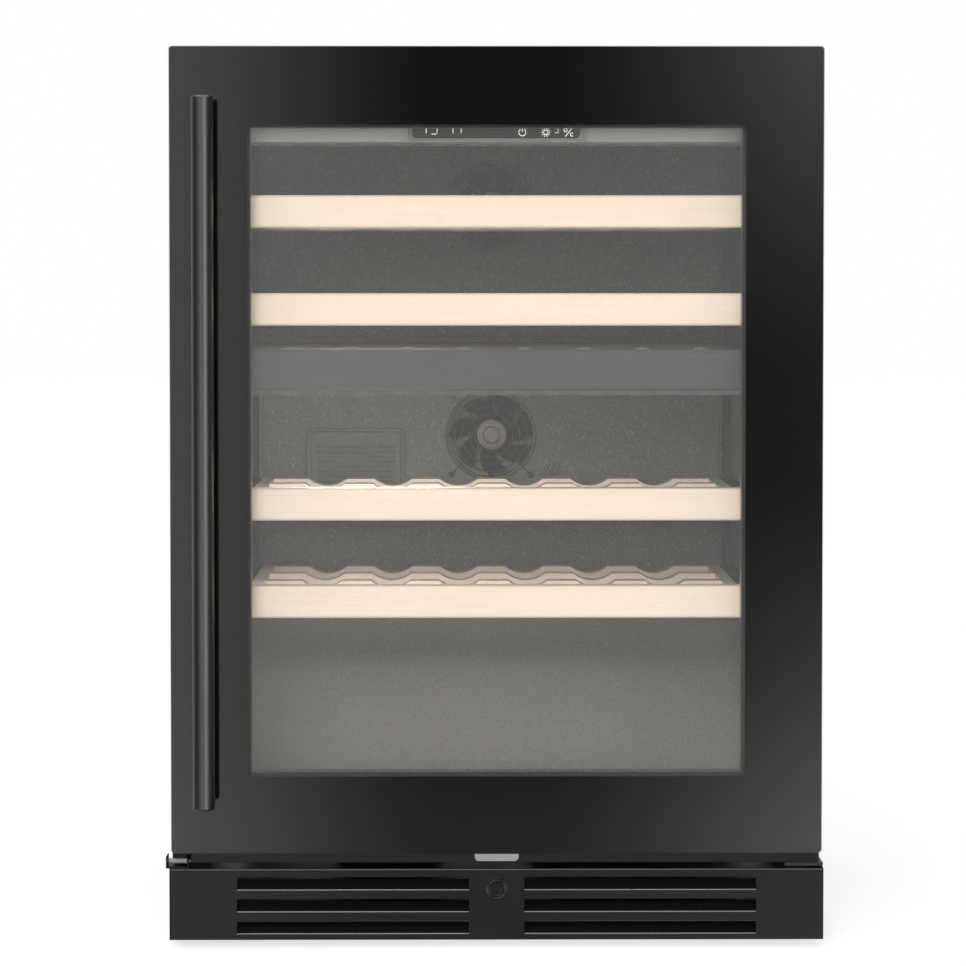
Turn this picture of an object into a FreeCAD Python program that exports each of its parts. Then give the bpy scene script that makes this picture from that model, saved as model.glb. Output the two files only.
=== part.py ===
import FreeCAD, Part

import math
import os
import operator

import Sketcher
from FreeCAD import Placement, Rotation, Vector

# An under-counter wine cooler with two temperature zones and one glass door.
# The front faces -Y, +Z is up, and the origin is on the floor, midway across the width and
# midway between the handle's front and the back.

doc = FreeCAD.newDocument("WineCooler")

# Driving sizes, in millimetres.
SIZES = {
    # overall
    "width": 595, "height": 820, "body_depth": 573,
    # door
    "door_depth": 40, "door_gap": 8, "glass_low": 87, "glass_top_gap": 1.7, "glass_side_gap": 1.8,
    "glass_thick": 4, "glass_corner": 3, "window_side": 72, "window_low": 69.8, "window_top": 70.6,
    "print_thick": 0.3, "frame_inset": 2.4, "frame_low": 78.3, "frame_top_gap": 6.8,
    "lip_cover": 2.3, "spacer_width": 9.2, "lip_depth": 19.5,
    "seal_width": 12, "seal_inset": 23.5, "seal_gap": 0.3, "seal_corner": 8,
    "print_edge": 0.2, "frame_corner": 2, "pane_grip": 3, "pane_play": 0.5, "pane_corner": 1,
    # striker plate under the door
    "striker_width": 40, "striker_thick": 2, "striker_set": 0.5, "striker_rise": 1.7,
    "striker_neck": 28, "striker_corner": 4, "striker_gap": 0.4,
    # handle
    "bar_radius": 10, "bar_length": 640, "bar_stand": 34, "bar_side": 34, "post_radius": 6,
    "post_inset": 53, "post_seat": 5, "stud_radius": 3, "stud_length": 20, "bar_bottom": 132,
    "bar_chamfer": 1.5,
    # hinges and the door's support roller
    "pivot_side": 10.5, "pivot_depth": 14.5, "pin_radius": 4, "pin_play": 0.05, "bush_radius": 6,
    "bush_length": 9, "bracket_thick": 3.2, "bracket_gap": 0.5, "hinge_leaf": 35, "leaf_drop": 36,
    "leaf_inner": 10, "screw_radius": 2, "screw_head": 2, "screw_length": 12,
    "roller_radius": 2.2, "roller_length": 17.2, "roller_proud": 5.9, "roller_rise": 0.4,
    "roller_play": 0.3, "axle_radius": 0.9, "cheek_outer": 1.3, "cheek_inner": 1.6,
    "cheek_reach": 12, "cheek_rear": 8, "cheek_top": 11.3, "cheek_step": 2.3, "notch_width": 15.5,
    # cabinet
    "sheet": 1, "skin": 3, "liner_side": 47.5, "liner_ceiling": 44, "liner_floor": 116,
    "liner_back": 38.5, "step_gap": 29.5, "step_foam": 35, "step_depth": 165, "base_height": 74,
    "bay_depth": 165.5, "ground_gap": 10, "play": 0.3, "panel_thick": 0.8, "pan_thick": 2,
    "pan_side": 11, "boss_tall": 20, "boss_wall": 5,
    # zones and shelves
    "shelf_drop": 105.5, "shelf_pitch": 90, "divider_drop": 37, "divider_thick": 37,
    "front_tall": 30, "front_thick": 20, "deck_thick": 16, "deck_drop": 13,
    "front_play": 8, "rail_width": 12, "tongue": 5, "slat_width": 24, "bottle_pitch": 67,
    "cradle_radius": 30, "cradle_deep": 7, "track_depth": 14, "front_set": 12, "tongue_low": 4,
    "tongue_high": 10, "groove_play": 0.4,
    # controls, lights and air
    "fascia_tall": 43.4, "fascia_back": 55, "fascia_depth": 60, "display_width": 162,
    "display_lens": 152, "display_proud": 2, "display_corner": 3, "fascia_sheet": 2.5,
    "lamp_width": 10, "lamp_inset": 10, "duct_sheet": 3, "duct_inset": 10, "duct_corner": 6,
    "duct_back": 75.5, "fan_size": 92, "fan_depth": 25,
    "fan_pitch": 82.5, "wire": 0.8, "upper_fan": 92, "lower_fan": 59.3,
    # kick plate and lock
    "kick_low": 8, "kick_top": 73, "kick_back": 2, "kick_sheet": 2, "slot_tall": 12,
    "slot_pitch": 20, "slot_inner": 25.2, "slot_outer": 61.5, "slot_low": 13.3,
    "lock_height": 55, "lock_radius": 10.5, "plug_radius": 6, "cam_length": 29, "cam_width": 12,
    "cam_set": 12.5, "cam_thick": 2.5, "pocket_left": 22, "pocket_right": 14, "pocket_tall": 8,
    "pocket_play": 4,
    # machine compartment
    "compressor_radius": 62, "compressor_tall": 150, "compressor_x": -105, "compressor_back": 83,
    "grommet_radius": 9, "grommet_tall": 8, "grommet_pitch": 88, "cooling_fan": 120,
    "cooling_x": 100, "fin_thick": 1.2, "coil_depth": 60, "coil_tall": 120, "tray_width": 150,
    "tray_depth": 124, "tray_tall": 18, "tray_wall": 2, "inlet_side": 60, "inlet_height": 70,
    "inlet_width": 32, "inlet_tall": 24, "pipe_radius": 3, "pipe_bend": 14,
    # levelling feet
    "foot_radius": 18, "foot_tall": 9, "stem_radius": 5, "foot_side": 47.5,
}

sheet = doc.addObject("Spreadsheet::Sheet", "Dims")
for row, (alias, amount) in enumerate(SIZES.items(), 1):
    sheet.set(f"A{row}", alias)
    sheet.set(f"B{row}", str(amount))
    sheet.setAlias(f"B{row}", alias)
doc.recompute()


class Size:
    """A length linked to the sheet: the expression that gives it, and its value."""

    def __init__(self, text, value):
        self.text = text
        self.value = float(value)

    def __add__(self, other):
        return combined(self, "+", other)

    def __radd__(self, other):
        return combined(other, "+", self)

    def __sub__(self, other):
        return combined(self, "-", other)

    def __rsub__(self, other):
        return combined(other, "-", self)

    def __mul__(self, other):
        return combined(self, "*", other)

    def __rmul__(self, other):
        return combined(other, "*", self)

    def __truediv__(self, other):
        return combined(self, "/", other)

    def __neg__(self):
        return combined(0, "-", self)


WORK = {"+": operator.add, "-": operator.sub, "*": operator.mul, "/": operator.truediv}


def sized(amount):
    """A Size from a Size or a plain number."""
    return amount if isinstance(amount, Size) else Size(f"({float(amount)})", amount)


def combined(left, sign, right):
    left, right = sized(left), sized(right)
    return Size(f"({left.text} {sign} {right.text})", WORK[sign](left.value, right.value))


class Sheet:
    """The sheet's sizes by name, as in D.width."""

    def __getattr__(self, alias):
        return Size(f"Dims.{alias}", SIZES[alias])


D = Sheet()
nodes = {}


def bind(thing, name, amount):
    """Link a property to the sheet."""
    thing.setExpression(name, sized(amount).text)


def put(thing, x=0, y=0, z=0):
    """Link an object's place to the sheet, leaving its turn as it is."""
    for axis, amount in zip("xyz", (x, y, z)):
        bind(thing, f"Placement.Base.{axis}", amount)
    return thing


def node(label, thing):
    """Name a finished piece, which is written to a file of that name."""
    thing.Label = label
    nodes[label] = thing
    return thing


def around(middle, across):
    """The two ends of a span about its middle."""
    return middle - across / 2, middle + across / 2


# ---- Simple solids and booleans ----

def box(x, y, z, label="block"):
    """A block between three pairs of coordinates."""
    made = doc.addObject("Part::Box", label)
    for name, (low, high) in zip(("Length", "Width", "Height"), (x, y, z)):
        bind(made, name, high - low)
    return put(made, x[0], y[0], z[0])


TURNS = {
    "x": Rotation(Vector(0, 1, 0), 90),
    "y": Rotation(Vector(1, 0, 0), -90),
    "z": Rotation(),
}


def rod(radius, axis, x, y, z, length, label="rod"):
    """A cylinder that starts at a point and runs along +X, +Y or +Z."""
    made = doc.addObject("Part::Cylinder", label)
    bind(made, "Radius", radius)
    bind(made, "Height", length)
    made.Placement = Placement(Vector(), TURNS[axis])
    return put(made, x, y, z)


def fuse(parts, label="joined"):
    made = doc.addObject("Part::MultiFuse", label)
    made.Shapes = parts
    return made


def cut(base, tools, label="carved"):
    made = doc.addObject("Part::Cut", label)
    made.Base = base
    made.Tool = tools[0] if len(tools) == 1 else fuse(tools, "tools")
    return made


def group(parts):
    """Identical or matching solids that share one node."""
    made = doc.addObject("Part::Compound", "group")
    made.Links = parts
    return made


# ---- Part Design bodies ----

def new_body():
    return doc.addObject("PartDesign::Body", "Body")


def origin_part(body, role):
    return next(item for item in body.Origin.OriginFeatures if item.Role == role)


def sketch(body, plane, outlines, offset=None):
    """Closed outlines on a plane of the body's origin. An outline is a list of corners (x, y),
    or a tuple (x, y, radius) for a circle. Every corner, centre and radius is linked."""
    drawn = body.newObject("Sketcher::SketchObject", "Sketch")
    drawn.AttachmentSupport = [(origin_part(body, plane), "")]
    drawn.MapMode = "FlatFace"
    if offset is not None:
        bind(drawn, "AttachmentOffset.Base.z", offset)

    def hold(kind, where, amount):
        amount = sized(amount)
        index = drawn.addConstraint(Sketcher.Constraint(kind, *where, amount.value))
        drawn.setExpression(f"Constraints[{index}]", amount.text)

    for outline in outlines:
        first = drawn.GeometryCount
        if isinstance(outline, tuple):
            x, y, radius = (sized(amount) for amount in outline)
            drawn.addGeometry(Part.Circle(Vector(x.value, y.value), Vector(0, 0, 1), radius.value))
            hold("Radius", (first,), radius)
            hold("DistanceX", (-1, 1, first, 3), x)
            hold("DistanceY", (-1, 1, first, 3), y)
            continue
        corners = [(sized(x), sized(y)) for x, y in outline]
        points = [Vector(x.value, y.value) for x, y in corners]
        for start, end in zip(points, points[1:] + points[:1]):
            drawn.addGeometry(Part.LineSegment(start, end))
        for index, (x, y) in enumerate(corners):
            before = first + (index - 1) % len(corners)
            drawn.addConstraint(Sketcher.Constraint("Coincident", before, 2, first + index, 1))
            hold("DistanceX", (-1, 1, first + index, 1), x)
            hold("DistanceY", (-1, 1, first + index, 1), y)
    return drawn


def rectangle(x, y):
    return [(x[0], y[0]), (x[1], y[0]), (x[1], y[1]), (x[0], y[1])]


def feature(body, kind, profile, **amounts):
    """A feature made from a sketch, with its lengths linked; it becomes the body's tip."""
    made = body.newObject(f"PartDesign::{kind}", kind)
    made.Profile = profile
    for name, amount in amounts.items():
        bind(made, name, amount)
    body.Tip = made
    return made


def turned(label, outline, plane="XZ_Plane", axis="Z_Axis"):
    """A body turned about an axis of its own origin from half of its section."""
    body = new_body()
    made = body.newObject("PartDesign::Revolution", "Revolution")
    made.Profile = sketch(body, plane, [outline])
    made.ReferenceAxis = (origin_part(body, axis), [""])
    made.Angle = 360
    body.Tip = made
    return node(label, body) if label else body


def straight_edges(shape, axis, wanted=None):
    """Names of the edges along an axis, all of them or those whose middle is wanted."""
    names = []
    for number, edge in enumerate(shape.Edges, 1):
        along = edge.Curve.TypeId == "Part::GeomLine"
        along = along and abs(edge.tangentAt(edge.FirstParameter).dot(axis)) > 0.999
        if along and (wanted is None or wanted(edge.CenterOfMass)):
            names.append(f"Edge{number}")
    return names


def round_edges(body, radius, axis, wanted=None):
    """Fillet a body's straight edges along an axis. The edges are read in the body's frame."""
    doc.recompute()
    base = body.Tip
    made = body.newObject("PartDesign::Fillet", "Fillet")
    made.Base = (base, straight_edges(base.Shape, axis, wanted))
    bind(made, "Radius", radius)
    body.Tip = made
    return body


X, Y, Z = Vector(1, 0, 0), Vector(0, 1, 0), Vector(0, 0, 1)


def prism(x, y, z, corner=None, holes=(), hole_corner=None):
    """An upright plate across Y with rounded corners and holes, as a Part Design body. A hole is
    a rectangle's two spans ((x low, x high), (z low, z high)) or a circle (x, z, radius)."""
    body = new_body()
    loops = [rectangle(x, z)]
    for hole in holes:
        loops.append(hole if len(hole) == 3 else rectangle(*hole))
    pad = feature(body, "Pad", sketch(body, "XZ_Plane", loops), Length=y[1] - y[0])
    pad.Reversed = True
    ends = [sized(end).value for end in x]

    def outer(point):
        return min(abs(point.x - end) for end in ends) < 0.01

    if corner is not None:
        round_edges(body, corner, Y, outer)
    if hole_corner is not None:
        round_edges(body, hole_corner, Y, lambda point: not outer(point))
    return put(body, 0, y[0], 0)


# ---- Places that several pieces share ----

half = D.width / 2
front = (D.bar_stand + D.bar_radius - D.body_depth) / 2
back = front + D.body_depth
cabinet_front = front + D.door_depth + D.door_gap
door_rear = front + D.door_depth

glass_x = around(sized(0), D.width - 2 * D.glass_side_gap)
glass_z = (D.glass_low, D.height - D.glass_top_gap)
frame_x = (glass_x[0] + D.frame_inset, glass_x[1] - D.frame_inset)
frame_z = (D.frame_low, D.height - D.glass_top_gap - D.frame_top_gap)
window_x = around(sized(0), D.width - 2 * D.window_side)
window_z = (glass_z[0] + D.window_low, glass_z[1] - D.window_top)
lip_x = (window_x[0] + D.lip_cover, window_x[1] - D.lip_cover)
lip_z = (window_z[0] + D.lip_cover, window_z[1] - D.lip_cover)
print_y = (front + D.glass_thick, front + D.glass_thick + D.print_thick)
lip_front = door_rear - D.lip_depth
spacer_y = (print_y[1], lip_front - D.glass_thick)
pane_edge = D.spacer_width + D.pane_grip
pane_x = (window_x[0] - pane_edge, window_x[1] + pane_edge)
pane_z = (window_z[0] - pane_edge, window_z[1] + pane_edge)

liner_x = around(sized(0), D.width - 2 * D.liner_side)
ceiling = D.height - D.liner_ceiling
liner_rear = back - D.liner_back
step_front = liner_rear - D.step_depth
duct_front = back - D.duct_back

pivot_x = half - D.pivot_side
pivot_y = front + D.pivot_depth
bar_x = -(half - D.bar_side)
bar_y = front - D.bar_stand
bar_z = (D.bar_bottom, D.bar_bottom + D.bar_length)
post_z = (bar_z[0] + D.post_inset, bar_z[1] - D.post_inset)

shelf_1 = ceiling - D.shelf_drop
shelf_2 = shelf_1 - D.shelf_pitch
divider_z = (shelf_2 - D.divider_drop - D.divider_thick, shelf_2 - D.divider_drop)
shelf_3 = divider_z[0] - D.shelf_drop
shelf_4 = shelf_3 - D.shelf_pitch
shelf_heights = [shelf_1, shelf_2, shelf_3, shelf_4]
step_top = shelf_4 - D.deck_drop - D.step_gap
fan_heights = {"upper": ceiling - D.upper_fan, "lower": divider_z[0] - D.lower_fan}

panel_y = (back - D.sheet - D.panel_thick, back - D.sheet)
bay_front = back - D.bay_depth
bay_top = step_top - D.skin - D.step_foam
bay_x = (liner_x[0] - D.skin - D.play, liner_x[1] + D.skin + D.play)
cam_y = (front + D.cam_set, front + D.cam_set + D.cam_thick)
roller_z = D.frame_low + D.roller_rise
roller_top = roller_z + D.roller_radius
cheek_x = (frame_x[0] - D.roller_proud,
           frame_x[0] - D.roller_proud + D.roller_length + 2 * D.roller_play)


def screw(x, y, z, label="screw"):
    """A pan-head screw driven towards +Y, its head's underside at y."""
    head = rod(D.screw_radius * 1.8, "y", x, y - D.screw_head, z, D.screw_head)
    return fuse([head, rod(D.screw_radius, "y", x, y, z, D.screw_length)], label)


HINGE_SCREWS = [(pivot_x, D.height - 22), (pivot_x, D.base_height + 14),
                (pivot_x, D.base_height + 28), (pivot_x, D.height - 30)]
leaf_front = cabinet_front - D.bracket_thick


def screw_holes(y, length):
    """Bores that the hinge screws' shanks fill."""
    return [rod(D.screw_radius, "y", x, y, z, length) for x, z in HINGE_SCREWS]


# ---- Door ----

def stud_holes():
    """Bores for the handle's two studs, through whatever lies behind the glass's face."""
    return [rod(D.stud_radius, "y", bar_x, front - 1, z, D.stud_length + 1) for z in post_z]


def make_door():
    stud = [(bar_x, z, D.stud_radius) for z in post_z]
    node("front_glass", prism(glass_x, (front, print_y[0]), glass_z, D.glass_corner, stud))
    border_x = (glass_x[0] + D.print_edge, glass_x[1] - D.print_edge)
    border_z = (glass_z[0] + D.print_edge, glass_z[1] - D.print_edge)
    border = prism(border_x, print_y, border_z, D.glass_corner, stud + [(window_x, window_z)])
    node("enamel_border", border)

    blank = prism(frame_x, (print_y[1], door_rear), frame_z, D.frame_corner, [(lip_x, lip_z)])
    rebate = box((pane_x[0] - D.pane_play, pane_x[1] + D.pane_play), (print_y[1] - 1, lip_front),
                 (pane_z[0] - D.pane_play, pane_z[1] + D.pane_play))
    cam_pocket = box((-D.pocket_left, D.pocket_right), (cam_y[0] - D.pocket_play, cam_y[1] + D.pocket_play),
                     (frame_z[0] - 1, frame_z[0] + D.pocket_tall))
    bush_heights = (frame_z[0], frame_z[1] - D.bush_length)
    bores = [rod(D.bush_radius, "z", pivot_x, pivot_y, z, D.bush_length) for z in bush_heights]
    hollows = [rebate, cam_pocket] + roller_notches() + bores + stud_holes()
    node("door_frame", cut(blank, hollows))

    bushes = []
    for z in bush_heights:
        sleeve = rod(D.bush_radius, "z", pivot_x, pivot_y, z, D.bush_length)
        bore = rod(D.pin_radius + D.pin_play, "z", pivot_x, pivot_y, z - 1, D.bush_length + 2)
        bushes.append(cut(sleeve, [bore], "bush"))
    node("hinge_bushes", group(bushes))

    grip = D.pane_grip
    spacer_hole = ((window_x[0] - grip, window_x[1] + grip), (window_z[0] - grip, window_z[1] + grip))
    node("glass_spacer", prism(pane_x, spacer_y, pane_z, None, [spacer_hole]))
    node("inner_glass", prism(pane_x, (spacer_y[1], lip_front), pane_z, D.pane_corner))
    make_seal()
    make_handle()
    make_striker()


def roller_notches():
    """Room in the frame's lower corner for the support roller: a tall recess in front of it, a low
    one over it, and a slot for its inner cheek."""
    left, low, rear = frame_x[0] - 1, frame_z[0] - 1, door_rear + 1
    right = frame_x[0] + D.notch_width
    step_y = pivot_y - D.roller_radius - D.pin_play * 10
    ahead = box((left, right), (print_y[1] - 1, step_y), (low, glass_z[0]))
    over = box((left, cheek_x[1]), (step_y - 1, rear), (low, roller_top + D.roller_play))
    beside = box((cheek_x[1] - 1, right), (step_y - 1, rear), (low, D.kick_top + D.cheek_top))
    return [ahead, over, beside]


def make_seal():
    """A magnetic gasket all round the rear of the door."""
    x = around(sized(0), D.width - 2 * D.seal_inset)
    z = (D.liner_floor - D.seal_width * 2, ceiling + D.seal_width * 2)
    hole = ((x[0] + D.seal_width, x[1] - D.seal_width), (z[0] + D.seal_width, z[1] - D.seal_width))
    seal = prism(x, (door_rear, cabinet_front - D.seal_gap), z, D.seal_corner, [hole], D.seal_corner / 2)
    node("door_gasket", seal)


def make_striker():
    """A steel plate under the glass, with a narrower neck that reaches the frame."""
    plate_y = (front + D.striker_set, front + D.striker_set + D.striker_thick)
    low, high = frame_z[0] + D.striker_rise, glass_z[0] - D.striker_gap
    plate = prism(around(sized(0), D.striker_width), plate_y, (low, high))
    middle = (low.value + high.value) / 2
    round_edges(plate, D.striker_corner, Y, lambda point: point.z < middle)
    neck = box(around(sized(0), D.striker_neck), (plate_y[1], print_y[1]), (low + 1, high))
    node("striker_plate", fuse([plate, neck]))


def make_handle():
    """A round bar on two posts. Each post sits in a bore in the bar, and its stud goes through
    the glass into the frame."""
    length, radius, end = D.bar_length, D.bar_radius, D.bar_chamfer
    bar = turned(None, [(0, 0), (radius - end, 0), (radius, end), (radius, length - end),
                        (radius - end, length), (0, length)])
    put(bar, bar_x, bar_y, bar_z[0])
    seat = bar_y + D.bar_radius - D.post_seat
    bores = [rod(D.post_radius, "y", bar_x, seat, z, D.bar_radius * 2) for z in post_z]
    node("handle_bar", cut(bar, bores))
    posts = []
    for z in post_z:
        post = rod(D.post_radius, "y", bar_x, seat, z, front - seat)
        stud = rod(D.stud_radius, "y", bar_x, front, z, D.stud_length)
        posts.append(fuse([post, stud], "post"))
    node("handle_posts", group(posts))


# ---- Hinges and roller ----

def make_hinges():
    """A bracket above and below the door. The top one's nose, round its pin, stays inside the
    circle that the back of the glass sweeps as the door turns."""
    leaf_x = (pivot_x - D.leaf_inner, half - D.bracket_gap)
    arm_left = leaf_x[1] - D.hinge_leaf
    top_low = frame_z[1] + D.bracket_gap
    top_z = (top_low, top_low + D.bracket_thick)
    nose = pivot_y - print_y[1] - 1.7
    arm = box((arm_left, pivot_x + nose * 0.6), (pivot_y, cabinet_front), top_z)
    shoulder = box((arm_left, pivot_x), (pivot_y - nose, pivot_y + 1), top_z)
    tip = rod(nose, "z", pivot_x, pivot_y, top_low, D.bracket_thick)
    top_leaf = box(leaf_x, (leaf_front, cabinet_front), (D.height - D.leaf_drop, top_z[1]))
    holes = screw_holes(leaf_front - 1, D.screw_length)
    node("hinge_top_bracket", cut(fuse([arm, shoulder, tip, top_leaf]), [holes[0], holes[3]]))

    low_top = frame_z[0] - D.bracket_gap
    low_z = (low_top - D.bracket_thick, low_top)
    plate = box((arm_left, leaf_x[1]), (print_y[1] + 0.7, cabinet_front), low_z)
    low_leaf = box(leaf_x, (leaf_front, cabinet_front), (low_z[0], D.base_height + D.leaf_drop))
    holes = screw_holes(leaf_front - 1, D.screw_length)
    node("hinge_bottom_bracket", cut(fuse([plate, low_leaf]), [holes[1], holes[2]]))

    reach = D.bush_length - 1
    pins = [rod(D.pin_radius, "z", pivot_x, pivot_y, low_top, reach),
            rod(D.pin_radius, "z", pivot_x, pivot_y, top_low - reach, reach)]
    node("hinge_pins", group(pins))
    node("hinge_screws", group([screw(x, leaf_front, z) for x, z in HINGE_SCREWS]))


def make_roller():
    """A roller that takes the free end of the door as it closes, between two cheeks."""
    low, top = D.kick_top + D.roller_play, D.kick_top + D.cheek_top
    outer, inner = (cheek_x[0] - D.cheek_outer, cheek_x[0]), (cheek_x[1], cheek_x[1] + D.cheek_inner)
    cheek_y = (pivot_y - D.cheek_reach, pivot_y + D.cheek_rear)
    plate = box((outer[0], inner[1]), (cheek_y[0], cabinet_front), (low, low + 1))
    cheeks = [prism(outer, cheek_y, (low, top), D.cheek_outer * 0.45),
              box(inner, cheek_y, (low, top - D.cheek_step))]
    leaf = box((-half, inner[1]), (leaf_front, cabinet_front), (low, D.base_height + D.hinge_leaf))
    span = cheek_x[1] - cheek_x[0]
    axle = rod(D.axle_radius, "x", cheek_x[0] - 1, pivot_y, roller_z, span + 2)
    node("roller_bracket", fuse([plate, leaf, axle] + cheeks))
    tube = rod(D.roller_radius, "x", cheek_x[0] + D.roller_play, pivot_y, roller_z, D.roller_length)
    bore = rod(D.axle_radius + D.pin_play, "x", cheek_x[0] - 1, pivot_y, roller_z, span + 2)
    node("support_roller", cut(tube, [bore]))


# ---- Cabinet ----

def make_cabinet():
    depth = (cabinet_front, back - D.sheet)
    wrap = box(around(sized(0), D.width), depth, (D.ground_gap + D.pan_thick, D.height))
    inside = box(around(sized(0), D.width - 2 * D.sheet), (cabinet_front + D.sheet, back + 1),
                 (sized(0), D.height - D.sheet))
    shell = D.skin + D.play
    face = (cabinet_front - 1, cabinet_front + D.sheet * 5)
    mouth = box((liner_x[0] - shell, liner_x[1] + shell), face, (D.liner_floor - shell, ceiling + shell))
    intake = box(around(sized(0), D.width - 2 * D.sheet), face, (sized(0), D.base_height))
    bores = screw_holes(face[0], face[1] - face[0])
    node("cabinet_wrap", cut(wrap, [inside, mouth, intake] + bores))

    make_liner()
    foam_x = around(sized(0), D.width - 2 * D.sheet - 2 * D.play)
    core_z = (D.base_height, D.height - D.sheet - D.play)
    block = box(foam_x, (cabinet_front + D.sheet + D.play, panel_y[0] - 0.2), core_z)
    hollow = box((liner_x[0] - shell, liner_x[1] + shell), (cabinet_front, step_front + shell),
                 (D.liner_floor - shell, ceiling + shell))
    upper_hollow = box((liner_x[0] - shell, liner_x[1] + shell), (cabinet_front, liner_rear + shell),
                       (step_top - shell, ceiling + shell))
    machine_bay = box(bay_x, (bay_front, back), (sized(0), bay_top))
    bores = screw_holes(cabinet_front - 1, leaf_front - cabinet_front + D.screw_length + 1)
    node("insulation_foam", cut(block, [hollow, upper_hollow, machine_bay] + bores))

    opening = box(bay_x, (panel_y[0] - 1, back), (sized(0), bay_top))
    node("rear_panel", cut(prism(foam_x, panel_y, core_z), [opening]))
    make_base()
    make_divider()


def make_liner():
    """A vacuum-formed tub, open at the front, that steps up over the machine compartment."""
    def profile(grow, mouth):
        low, rear, step = D.liner_floor - grow, liner_rear + grow, step_front + grow
        return [(mouth, low), (step, low), (step, step_top - grow), (rear, step_top - grow),
                (rear, ceiling + grow), (mouth, ceiling + grow)]

    body = new_body()
    outer = feature(body, "Pad", sketch(body, "YZ_Plane", [profile(D.skin, cabinet_front)]),
                    Length=D.width - 2 * D.liner_side + 2 * D.skin)
    outer.SideType = "Symmetric"
    inner = sketch(body, "YZ_Plane", [profile(0, cabinet_front - 1)])
    hollow = feature(body, "Pocket", inner, Length=D.width - 2 * D.liner_side)
    hollow.SideType = "Symmetric"
    node("inner_liner", body)


def make_base():
    """The base pan: a floor with box-section sides and four bosses for the levelling feet."""
    depth = (cabinet_front + D.sheet + D.play, panel_y[0] - 0.2)
    pan_x = around(sized(0), D.width - 2 * D.sheet - 2 * D.play)
    parts = [box(pan_x, depth, (D.ground_gap, D.ground_gap + D.pan_thick))]
    for side in ((pan_x[0], pan_x[0] + D.pan_side), (pan_x[1] - D.pan_side, pan_x[1])):
        parts.append(box(side, depth, (D.ground_gap, D.base_height - 1)))
    places = foot_places()
    parts += [rod(D.stem_radius + D.boss_wall, "z", x, y, D.ground_gap, D.boss_tall) for x, y in places]
    bores = [rod(D.stem_radius + D.pin_play, "z", x, y, sized(0), D.base_height) for x, y in places]
    node("base_pan", cut(fuse(parts), bores))


def foot_places():
    side = half - D.foot_side
    return [(x, y) for y in (cabinet_front + 31.5, back - 38.5) for x in (-side, side)]


def make_feet():
    names = ["foot_front_left", "foot_front_right", "foot_rear_left", "foot_rear_right"]
    for name, (x, y) in zip(names, foot_places()):
        pad, stem, top = D.foot_radius, D.stem_radius, D.ground_gap + 30
        foot = turned(name, [(0, 0), (pad - 2, 0), (pad, 2), (pad, D.foot_tall - 3),
                             (pad - 6, D.foot_tall), (stem, D.foot_tall), (stem, top), (0, top)])
        put(foot, x, y, 0)


def make_divider():
    body = new_body()
    pad = feature(body, "Pad", sketch(body, "YZ_Plane", [rectangle(
        (cabinet_front + 2, duct_front - 0.4), divider_z)]),
        Length=D.width - 2 * D.liner_side - 2 * D.play)
    pad.SideType = "Symmetric"
    face = cabinet_front.value + 2
    round_edges(body, 3, X, lambda point: point.y < face + 1)
    node("zone_divider", body)


# ---- Shelves ----

deck_y = (cabinet_front + D.front_set + D.front_thick, duct_front - 18)
front_x = (liner_x[0] + D.front_play, liner_x[1] - D.front_play)
deck_x = (liner_x[0] + D.track_depth + 1, liner_x[1] - D.track_depth - 1)


def deck_heights(middle):
    low = middle - D.deck_drop
    return low, low + D.deck_thick


def make_shelf(number, middle):
    """A beech front board and a slatted deck with one cradle for each bottle."""
    face = deck_y[0] - D.front_thick
    board = prism(front_x, (face, deck_y[0]), around(middle, D.front_tall))
    round_edges(board, 3, X, lambda point: point.y < 1)
    node(f"shelf_{number}_front", board)

    low, high = deck_heights(middle)
    sides = [(deck_x[0], deck_x[0] + D.rail_width), (deck_x[1] - D.rail_width, deck_x[1])]
    parts = [box(side, deck_y, (low, high)) for side in sides]
    tongue_z = (low + D.tongue_low, low + D.tongue_high)
    parts.append(box((deck_x[0] - D.tongue, deck_x[0] + 1), (deck_y[0] + 2, deck_y[1]), tongue_z))
    parts.append(box((deck_x[1] - 1, deck_x[1] + D.tongue), (deck_y[0] + 2, deck_y[1]), tongue_z))
    slats = 5
    gap = (deck_y[1] - deck_y[0] - D.slat_width) / (slats - 1)
    for slat in range(slats):
        start = deck_y[0] + gap * slat
        parts.append(box((deck_x[0] + 1, deck_x[1] - 1), (start, start + D.slat_width), (low, high)))
    inner = (deck_x[1] - deck_x[0]).value - 2 * SIZES["rail_width"]
    bottles = int(inner // SIZES["bottle_pitch"])
    centre = high + D.cradle_radius - D.cradle_deep
    cradles = []
    for bottle in range(bottles):
        x = D.bottle_pitch * (bottle - (bottles - 1) / 2)
        cradles.append(rod(D.cradle_radius, "y", x, deck_y[0] - 1, centre, deck_y[1] - deck_y[0] + 2))
    low_x, high_x = sides[0][1].value, sides[1][0].value
    reach = SIZES["bottle_pitch"] * (bottles - 1) / 2 + math.sqrt(
        2 * SIZES["cradle_radius"] * SIZES["cradle_deep"] - SIZES["cradle_deep"] ** 2)
    assert low_x < -reach and reach < high_x
    node(f"shelf_{number}_deck", cut(fuse(parts), cradles))


def make_tracks():
    """A channel on each side of the liner for each shelf's tongues."""
    tracks = []
    for middle in shelf_heights:
        low = deck_heights(middle)[0]
        for wall, side in ((liner_x[0], 1), (liner_x[1], -1)):
            inner, outer = wall + D.track_depth * side, wall + D.play * side
            slot = inner - (D.tongue + 2) * side
            x = (outer, inner) if side > 0 else (inner, outer)
            groove_x = (slot, inner + 1) if side > 0 else (inner - 1, slot)
            rail = box(x, (deck_y[0] + 3, deck_y[1] + 3), (low - 2, low + 16))
            groove_z = (low + D.tongue_low - D.groove_play, low + D.tongue_high + D.groove_play)
            groove = box(groove_x, (deck_y[0], deck_y[1] + 0.5), groove_z)
            tracks.append(cut(rail, [groove], "track"))
    node("shelf_tracks", group(tracks))


# ---- Controls, lights and air ducts ----

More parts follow.
